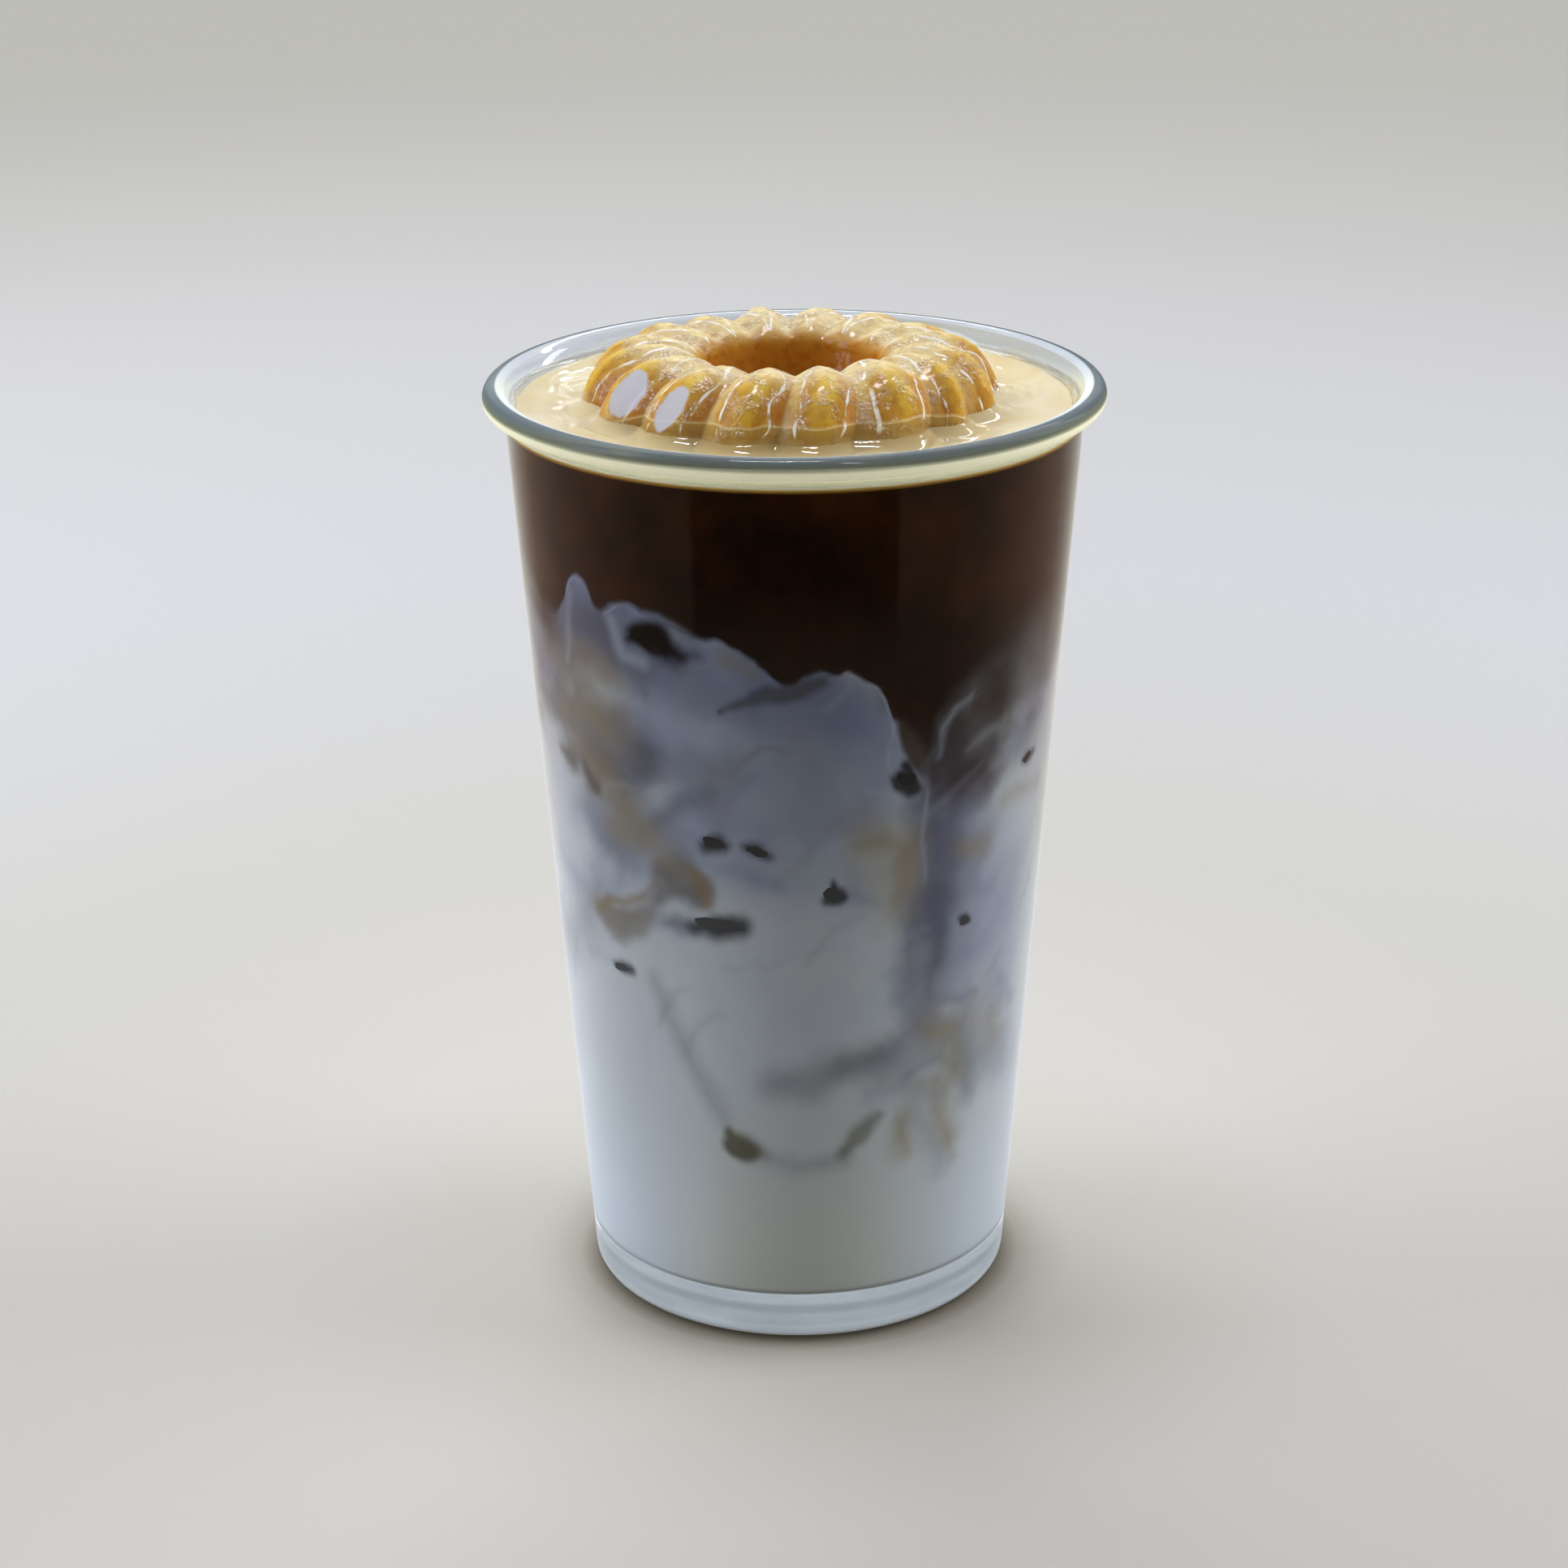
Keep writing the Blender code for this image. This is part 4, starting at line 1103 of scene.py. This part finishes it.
def frozenCreamMaterial():
    # Frozen coffee cream, moulded and just starting to melt: golden and a little translucent on the lobes,
    # caramel on their flanks, pale in the grooves, smooth in the hole. Painted shade darkens the right of the
    # flanks, the foot and the hole. Most of it has a soft sheen, and patches are pitted and sparkle under
    # melt water, partly by painted glints; a painted highlight runs along the water's edge, and the flats
    # carry a painted reflection. IOR 1.33, roughness 0.45 under a wet coat.
    material, tree, output = newMaterial("frozenCoffeeCream")
    place = addNode(tree, "TexCoord").outputs["Object"]
    groove, across, lowness, film, waterEdge, flat = (pointValue(tree, name) for name in ringValues)

    def rough(size, detail, low, high):
        # noise of a size in mm, spread between two values
        return spread(tree, speckle(tree, place, size, detail), 0.3, 0.7, low, high)

    def times(first, second, clamp=False):
        return calc(tree, "MULTIPLY", first, second, clamp=clamp)

    def over(amount, hexCode, kind="MIX"):
        return mix(tree, amount, colour, linear(hexCode), kind)

    fromGroove = calc(tree, "ADD", groove, rough(2.2, 3.0, -0.12, 0.12), clamp=True)
    colour = ramp(tree, fromGroove, frozenTones)
    # golden where the lobe is thick and light gets in, on the right of each crest
    right = spread(tree, across, -0.35, 0.35, smooth=True)
    thick = times(right, spread(tree, groove, 0.16, 0.02))
    colour = over(times(thick, rough(3.5, 2.0, 0.2, 1.0)), "DEBE46")
    # painted shade: darker caramel by each lobe's edge outside the melt water, most on its right
    shadedFlank = spread(tree, waterEdge, -0.3, 1.2, smooth=True)
    colour = over(times(shadedFlank, spread(tree, across, 0.1, 0.7, 0.15, 0.8)), "D9A468", "MULTIPLY")
    # paler along the top
    outside = spread(tree, lowness, -0.56, -0.34)
    colour = over(times(spread(tree, lowness, 0.36, 0.0, 0.0, 0.72, smooth=True), outside), "E2D4A6")
    # painted shade: darker and browner towards the foot, and down into the hole
    colour = over(spread(tree, lowness, 0.35, 0.95, 0.0, 0.75), "E0C49C", "MULTIPLY")
    colour = over(spread(tree, lowness, -0.3, -0.68), "A8691E")
    # the skin is mottled where it has thawed, 1.6 mm
    colour = over(times(rough(1.6, 4.0, -1.1, 1.5), 0.36, clamp=True), "CFA878", "MULTIPLY")
    # cream has wetted the foot, with a pale line where its film ends
    wetted = ramp(tree, spread(tree, film, -0.2, 3.2), wettedTones)
    colour = mix(tree, spread(tree, film, -0.35, 0.25, 0.0, 0.7, smooth=True), colour, wetted)
    # the melt water ends in a thin raised edge, with a white painted highlight along it, broken here and
    # there
    width = rough(2.5, 2.0, 0.08, 0.42)
    away = calc(tree, "DIVIDE", calc(tree, "ABSOLUTE", waterEdge), width)
    dry = spread(tree, film, 1.8, 0.6)
    unbroken = times(rough(2.4, 2.0, -0.7, 2.2), dry, clamp=True)
    # the painted highlight line along the water's edge
    highlightLine = times(spread(tree, away, 1.0, 0.45, smooth=True), unbroken, clamp=True)
    colour = over(times(highlightLine, 0.84), "FBF8F0")
    # painted reflection: the places melted flat are painted the pale grey of the bright room that they mirror
    colour = over(times(flat, 0.85), "C6CADA")
    # painted glints: white specks in the pitted patches on top
    onTop = spread(tree, lowness, -0.45, -0.2)
    sparkle = times(spread(tree, rough(3.2, 2.0, 0.0, 1.0), 0.45, 0.7, smooth=True), onTop)
    unflat = spread(tree, flat, 0.0, 0.5, 1.0, 0.0)
    paintedGlints = times(spread(tree, rough(0.36, 2.0, 0.0, 1.0), 0.76, 0.92, 0.0, 0.6), sparkle)
    colour = over(times(times(paintedGlints, unflat), dry), "FFFDF6")
    # the pits are 0.55 mm wide and 0.2 mm deep, and the water's edge stands up
    pits = times(rough(0.55, 3.0, 0.0, 1.0), calc(tree, "MULTIPLY_ADD", sparkle, 0.9, 0.1))
    raised = calc(tree, "MULTIPLY_ADD", highlightLine, 0.6, pits)
    height = times(raised, calc(tree, "SUBTRACT", 1.0, flat, clamp=True))
    bump = addNode(tree, "Bump", {}, {"Height": height, "Strength": 0.9, "Distance": 0.2 * mm}).outputs[0]
    coat = times(calc(tree, "MULTIPLY_ADD", sparkle, 0.75, 0.25), unflat)
    return finishMaterial(material, tree, output, {
        "Base Color": colour, "Roughness": 0.45, "IOR": 1.33, "Specular IOR Level": 0.0,
        "Subsurface Weight": 0.2, "Subsurface Scale": 1.0 * mm, "Subsurface Radius": (1.3, 1.1, 0.4),
        "Coat Weight": coat, "Coat Roughness": 0.02, "Coat IOR": 1.5, "Normal": bump, "Coat Normal": bump,
    })


# Cream

# in mm
creamShape = {
    "steps": 480, "rows": 112, "closer": 1.15,  # the rows draw closer together towards the wall
    "wallRise": 1.3, "wallReach": 1.3,  # the cream climbs the glass and the ring
    "ringRise": 1.5, "ringReach": 1.2, "underReach": 2.0, "underEnds": 6,
    "ripples": [(8.0, 0.17), (3.1, 0.06), (1.4, 0.012)],  # size and height
    "foldReach": 8.0, "foldWidth": 2.6, "foldHeight": 0.42, "foldWander": 5, "foldPatches": 9.0,
    "shadeReach": 7.0, "shadeBehind": 0.25,  # how far from the ring its painted shadow reaches, and its share behind
    "under": ((0.5, 3.0), (0.88, 1.5)), "middleUnder": 3.0,  # share of the radius, and how far down
}


def ringEdge(angle):
    # outer radius of the ring at the cream's surface, for an angle about the ring's own middle
    shape = ringShape
    bearing = math.degrees(angle) + 90 - shape["slant"]
    starts = [start + 360 * math.floor((bearing - start) / 360) for start in shape["grooves"]]
    start = max(starts)
    end = shape["grooves"][(starts.index(start) + 1) % len(starts)]
    across = (bearing - start) / ((end - start) % 360)
    lobe = math.sin(math.pi * min(across, 1.0)) ** shape["roundFoot"]
    return shape["outer"] - shape["depthFoot"] * (1 - lobe)


def fromRingPlace(x, y):
    # direction from the middle of the ring, and distance in mm past its edge, for a place in mm
    ringX, ringY = x - ringShape["place"][0], y - ringShape["place"][1]
    angle = math.atan2(ringY, ringX)
    return angle, math.hypot(ringX, ringY) - ringEdge(angle)


def creamHeight(x, y):
    # surface of the cream in mm over its level, at a place in mm
    setup = creamShape
    wall = insideRadius(drinkShape["creamLevel"]) + drinkShape["intoWall"]
    rise = setup["wallRise"] * math.exp(-(wall - math.hypot(x, y)) / setup["wallReach"])
    fromRing = fromRingPlace(x, y)[1]
    if fromRing > 0:
        rise += setup["ringRise"] * math.exp(-fromRing / setup["ringReach"])
    elif fromRing > -setup["underEnds"]:
        rise += setup["ringRise"] * math.exp(fromRing / setup["underReach"])
    for seed, (size, high) in enumerate(setup["ripples"]):
        rise += noise.noise(Vector((x, y, seed * 9.0)) / size) * high
    # soft folds where the cream parted round the ring
    if 0 < fromRing < setup["foldReach"]:
        wander = noise.noise(Vector((x, y, 40.0)) / setup["foldWidth"] / 2) * setup["foldWander"]
        fade = math.sin(math.pi * fromRing / setup["foldReach"]) ** 2
        strong = max(noise.noise(Vector((x, y, 70.0)) / setup["foldPatches"]) + 0.25, 0.0)
        wave = math.sin(2 * math.pi * fromRing / setup["foldWidth"] + wander)
        rise += setup["foldHeight"] * fade * strong * wave
    return rise


def creamRingShadow(x, y):
    # how strong the ring's painted shadow on the cream is at a place in mm: most at the ring's front
    angle, fromRing = fromRingPlace(x, y)
    near = 1 - fromRing / creamShape["shadeReach"]
    front = 0.5 - 0.5 * math.sin(angle)
    behind = creamShape["shadeBehind"]
    return min(max(near, 0.0), 1.0) * (behind + (1 - behind) * front ** 2)


def creamMaterial():
    # Coffee cream, poured: opaque, pale and smooth as paint, wet on top, swirled over 12 mm.
    # IOR 1.35, roughness 0.06.
    material, tree, output = newMaterial("pouredCoffeeCream")
    place = addNode(tree, "TexCoord").outputs["Object"]
    swirl = speckle(tree, place, 12.0, 4.0, distortion=0.8)
    colour = ramp(tree, swirl, [(0.3, "EEDCAE"), (0.55, "F5E8C2"), (0.8, "FAF1D6")])
    # painted shadow of the ring on the cream, browner round its front
    ringShadowed = mix(tree, pointValue(tree, "mixed"), colour, linear("BCA982"), "MULTIPLY")
    return finishMaterial(material, tree, output, {
        "Base Color": ringShadowed, "Roughness": 0.06, "IOR": 1.35,
        "Subsurface Weight": 0.15, "Subsurface Scale": 1.0 * mm, "Subsurface Radius": (2.0, 1.4, 0.8),
    })


def creamSideMaterial():
    # The same cream against the glass, where it has no gloss and coffee shades its lower edge. Roughness 0.6.
    material, tree, output = newMaterial("coffeeCreamAtGlass")
    place = addNode(tree, "TexCoord").outputs["Object"]
    height = addNode(tree, "SeparateXYZ", {}, {"Vector": place}).outputs["Z"]
    level, thick = drinkShape["creamLevel"] * mm, drinkShape["creamAtWall"] * mm
    up = spread(tree, height, level - thick, level)
    colour = ramp(tree, up, [(0.0, "5E3A12"), (0.25, "AE7A30"), (0.55, "DCC27C"), (1.0, "F6F0C8")])
    return finishMaterial(material, tree, output, {
        "Base Color": colour, "Roughness": 0.6, "Specular IOR Level": 0.0,
    })


def buildCream():
    setup = creamShape
    steps = setup["steps"]
    level = drinkShape["creamLevel"]
    into = drinkShape["intoWall"]
    angles = [2 * math.pi * step / steps - math.pi / 2 for step in range(steps)]
    bottom = level - drinkShape["creamAtWall"]
    side = [(innerWall(bottom) * share, bottom - down) for share, down in setup["under"]]
    heights = (bottom, (bottom + level) / 2, level + setup["wallRise"] * 0.6)
    side += [(insideRadius(z) + into, z) for z in heights]
    rows = [[(r * math.cos(a), r * math.sin(a), z) for a in angles] for r, z in side]
    edge = insideRadius(level + setup["wallRise"]) + into
    for row in range(setup["rows"]):
        r = edge * (1 - (row / setup["rows"]) ** setup["closer"])
        places = [(r * math.cos(a), r * math.sin(a)) for a in angles]
        rows.append([(x, y, level + creamHeight(x, y)) for x, y in places])
    slots = [1] * ((len(side) - 1) * steps) + [0] * (setup["rows"] * steps) + [1] * steps + [0] * steps
    inMetres = [[Vector(p) * mm for p in row] for row in rows]
    middle = bottom - setup["middleUnder"]
    piece = cappedPiece("creamSkin", inMetres, middle, level, [creamMaterial(), creamSideMaterial()], slots)
    places = [(x, y) for row in rows for x, y, _ in row] + [(0, 0), (0, 0)]
    # the points carry the ring's painted shadow on the cream as mixed
    setPointValues(piece, "mixed", [creamRingShadow(x, y) for x, y in places])
    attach(piece, "root")
    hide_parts("cream")


# Stage and light

stageSetup = {
    "floorSize": 4.0,  # m
    "fadeStart": 0.55, "fadeEnd": 1.25,  # m over which the floor fades into the backdrop
    "edgeSoft": 0.02,  # m and radians to each side of an edge of the mirrored table
    # mm from the middle of the foot: painted shadow, dark under it and warm round it, and cool further off
    "floorTonesAndShadow": [(0, "5E5648"), (31.5, "6A6252"), (32.8, "968F80"), (35.2, "B4AEA1"), (42.0, "C0BBB0"),
                     (84, "C3BFB6"), (130, "BFBBB2"), (175, "BBB8AF"), (245, "BBB9B4"), (360, "BCBBBA"),
                     (520, "BDBCBA"), (620, "C0BEBB"), (760, "C4C2BE"), (900, "CECBC6"), (1100, "DAD7D0")],
    "tableEnd": 0.7, "pastTable": "D2D4D8",  # m, and what gloss mirrors past it
    # m and degrees, past which hardly any light comes back from the front
    "frontEdge": 0.27, "frontHalf": 40, "pastFront": "201E1C",
    "paleReach": 0.13, "brownReach": 0.24,  # m over which the mirrored table turns brown
    "nearMirrored": "D0CFCD",
    # what lies further out, from straight in front (0) round to straight behind (1)
    "farMirrored": [(0.22, "66574A"), (0.34, "645446"), (0.55, "8A7464"), (0.72, "A28A76"), (0.84, "C8BFB0"),
                    (1.0, "D8D4CC")],
}

lightSetup = {
    "sky": "E4E6EA", "skyStrength": 0.72,
    "opening": "3A3530", "openingStrength": 0.35,
    "openingHalf": 42,  # degrees to each side of the front
    "openingTop": 38,  # degrees over the table
    "openingSoft": 0.03,
    "backdrop": "BEBDB8",
    # what gloss mirrors of the tent over this many degrees
    "aboveGloss": "9CA0A8", "aboveGlossShare": 0.45, "aboveGlossFrom": 12, "aboveGlossSoft": 0.12,
}


def turnFromFront(tree, x, y):
    # how far to either side of the front a direction lies, in radians
    return calc(tree, "ABSOLUTE", calc(tree, "ARCTAN2", x, calc(tree, "MULTIPLY", y, -1.0)))


def mirroredTable(tree, place, away, setup):
    # the glass mirrors a small table: bright near the foot, browner further out, and dark past its front edge
    x, y, _ = addNode(tree, "SeparateXYZ", {}, {"Vector": place}).outputs
    turned = turnFromFront(tree, x, y)
    half, soft = math.radians(setup["frontHalf"]), setup["edgeSoft"]
    facing = spread(tree, turned, half + soft, half - soft)
    far = spread(tree, away, setup["frontEdge"] - soft, setup["frontEdge"] + soft)
    room = ramp(tree, spread(tree, turned, 0.0, math.pi), setup["farMirrored"])
    outer = spread(tree, away, setup["paleReach"], setup["brownReach"], smooth=True)
    table = mix(tree, outer, linear(setup["nearMirrored"]), room)
    past = spread(tree, away, setup["tableEnd"] - 2 * soft, setup["tableEnd"] + 2 * soft)
    table = mix(tree, past, table, linear(setup["pastTable"]))
    return mix(tree, calc(tree, "MULTIPLY", facing, far), table, linear(setup["pastFront"]))


def floorMaterial(setup):
    # Matt white paper, seen by the camera in its own tones with a painted shadow round the foot, and by the
    # glass as the table that it mirrors.
    # IOR 1.5, roughness 0.9.
    material, tree, output = newMaterial("mattPaper")
    place = addNode(tree, "TexCoord").outputs["Object"]
    away = addNode(tree, "VectorMath", {"operation": "LENGTH"}, {0: place}).outputs["Value"]
    reach = setup["floorTonesAndShadow"][-1][0]
    stops = [(at / reach, tone) for at, tone in setup["floorTonesAndShadow"]]
    # the floor's tones, with the painted shadow round the foot
    tone = ramp(tree, spread(tree, away, 0.0, reach * mm), stops)
    seen = addNode(tree, "LightPath").outputs["Is Camera Ray"]
    shader = addNode(tree, "BsdfPrincipled", {}, {
        "Base Color": mix(tree, seen, mirroredTable(tree, place, away, setup), tone),
        "Roughness": 0.9, "Specular IOR Level": 0.1,
    })
    fade = spread(tree, away, setup["fadeStart"], setup["fadeEnd"], smooth=True)
    clear = addNode(tree, "BsdfTransparent").outputs[0]
    fade = calc(tree, "MULTIPLY", fade, seen)
    faded = addNode(tree, "MixShader", {}, {0: fade, 1: shader.outputs[0], 2: clear})
    tree.links.new(faded.outputs[0], output.inputs["Surface"])
    return material


def buildStage(setup):
    # a wide plain floor
    edge = setup["floorSize"] / 2
    corners = [(-edge, -edge, 0), (edge, -edge, 0), (edge, edge, 0), (-edge, edge, 0)]
    floor = meshPiece("floor", corners, [(0, 1, 2, 3)], [floorMaterial(setup)])


def buildLight(setup):
    # a white tent all round with one dark opening in front, as the glass mirrors it
    world = bpy.data.worlds.new("lightTent")
    bpy.context.scene.world = world
    world.use_nodes = True
    tree = world.node_tree
    tree.nodes.clear()
    output = tree.nodes.new("ShaderNodeOutputWorld")
    way = addNode(tree, "TexCoord").outputs["Generated"]
    x, y, z = addNode(tree, "SeparateXYZ", {}, {"Vector": way}).outputs
    path = addNode(tree, "LightPath").outputs

    def glow(name, strength):
        values = {"Color": linear(setup[name]), "Strength": strength}
        return addNode(tree, "Background", {}, values).outputs[0]

    def either(amount, first, second):
        return addNode(tree, "MixShader", {}, {0: amount, 1: first, 2: second}).outputs[0]

    half, soft = math.radians(setup["openingHalf"]), setup["openingSoft"]
    inside = spread(tree, turnFromFront(tree, x, y), half + soft, half - soft, smooth=True)
    top = math.sin(math.radians(setup["openingTop"]))
    opening = calc(tree, "MULTIPLY", inside, spread(tree, z, top + soft, top - soft, smooth=True))
    # the room over the tent's wall is dim for what mirrors it
    rise, soft = math.sin(math.radians(setup["aboveGlossFrom"])), setup["aboveGlossSoft"]
    high = spread(tree, z, rise - soft, rise + soft, smooth=True)
    gloss = calc(tree, "MULTIPLY", high, path["Is Glossy Ray"])
    tent = either(gloss, glow("sky", setup["skyStrength"]), glow("aboveGloss", setup["aboveGlossShare"]))
    lit = either(opening, tent, glow("opening", setup["openingStrength"]))
    final = either(path["Is Camera Ray"], lit, glow("backdrop", 1.0))
    tree.links.new(final, output.inputs["Surface"])


# Lamps: name, place and aim in mm, size in mm, watts, colour, and whether it lights the piece or only
# gives the gloss something to mirror
lamps = [
    ("lampBack", (-250, 700, 900), (0, 0, 100), (900, 400), 7.0, "F4F7FF", "lit"),
    ("lampLeft", (-700, 100, 450), (0, 0, 80), (500, 700), 4.0, "EEF3FF", "lit"),
    ("lampRight", (700, 100, 450), (0, 0, 80), (500, 700), 4.2, "F2F5FF", "lit"),
    ("glossLeft", (-768, -135, 590), (0, 0, 140), (300, 880), 5.5, "E6EAFF", "gloss"),
    ("glossBack", (190, 712, 656), (0, 0, 140), (560, 60), 1.6, "FBFBFF", "gloss"),
    ("glossRight", (625, 524, 520), (0, 0, 140), (120, 320), 0.9, "F6F7FF", "gloss"),
    ("glossTop", (-60, 160, 1200), (0, 0, 140), (300, 90), 10.0, "FAFBFF", "gloss"),
    ("glossFront", (260, -420, 1100), (0, 0, 140), (60, 240), 2.0, "FAFBFF", "gloss"),
]


def buildLamps():
    for name, place, aim, size, watts, hexCode, use in lamps:
        data = bpy.data.lights.new(name, "AREA")
        data.shape = "RECTANGLE"
        data.size, data.size_y = size[0] * mm, size[1] * mm
        data.energy = watts
        data.color = linear(hexCode)[:3]
        lamp = bpy.data.objects.new(name, data)
        lamp.location = Vector(place) * mm
        lamp.rotation_euler = (Vector(place) - Vector(aim)).to_track_quat("Z", "Y").to_euler()
        lamp.visible_camera = False
        lamp.visible_diffuse = use == "lit"
        lamp.visible_glossy = use == "gloss"
        bpy.context.scene.collection.objects.link(lamp)


bpy.context.scene.view_settings.view_transform = "Standard"
bpy.context.scene.view_settings.look = "None"
buildCamera(cameraSetup)
buildGlass()
drink = drinkMaterial()
buildMilk(drink)
buildCoffee(drink)
buildIce()
buildCream()
buildRing()
buildStage(stageSetup)
buildLight(lightSetup)
buildLamps()
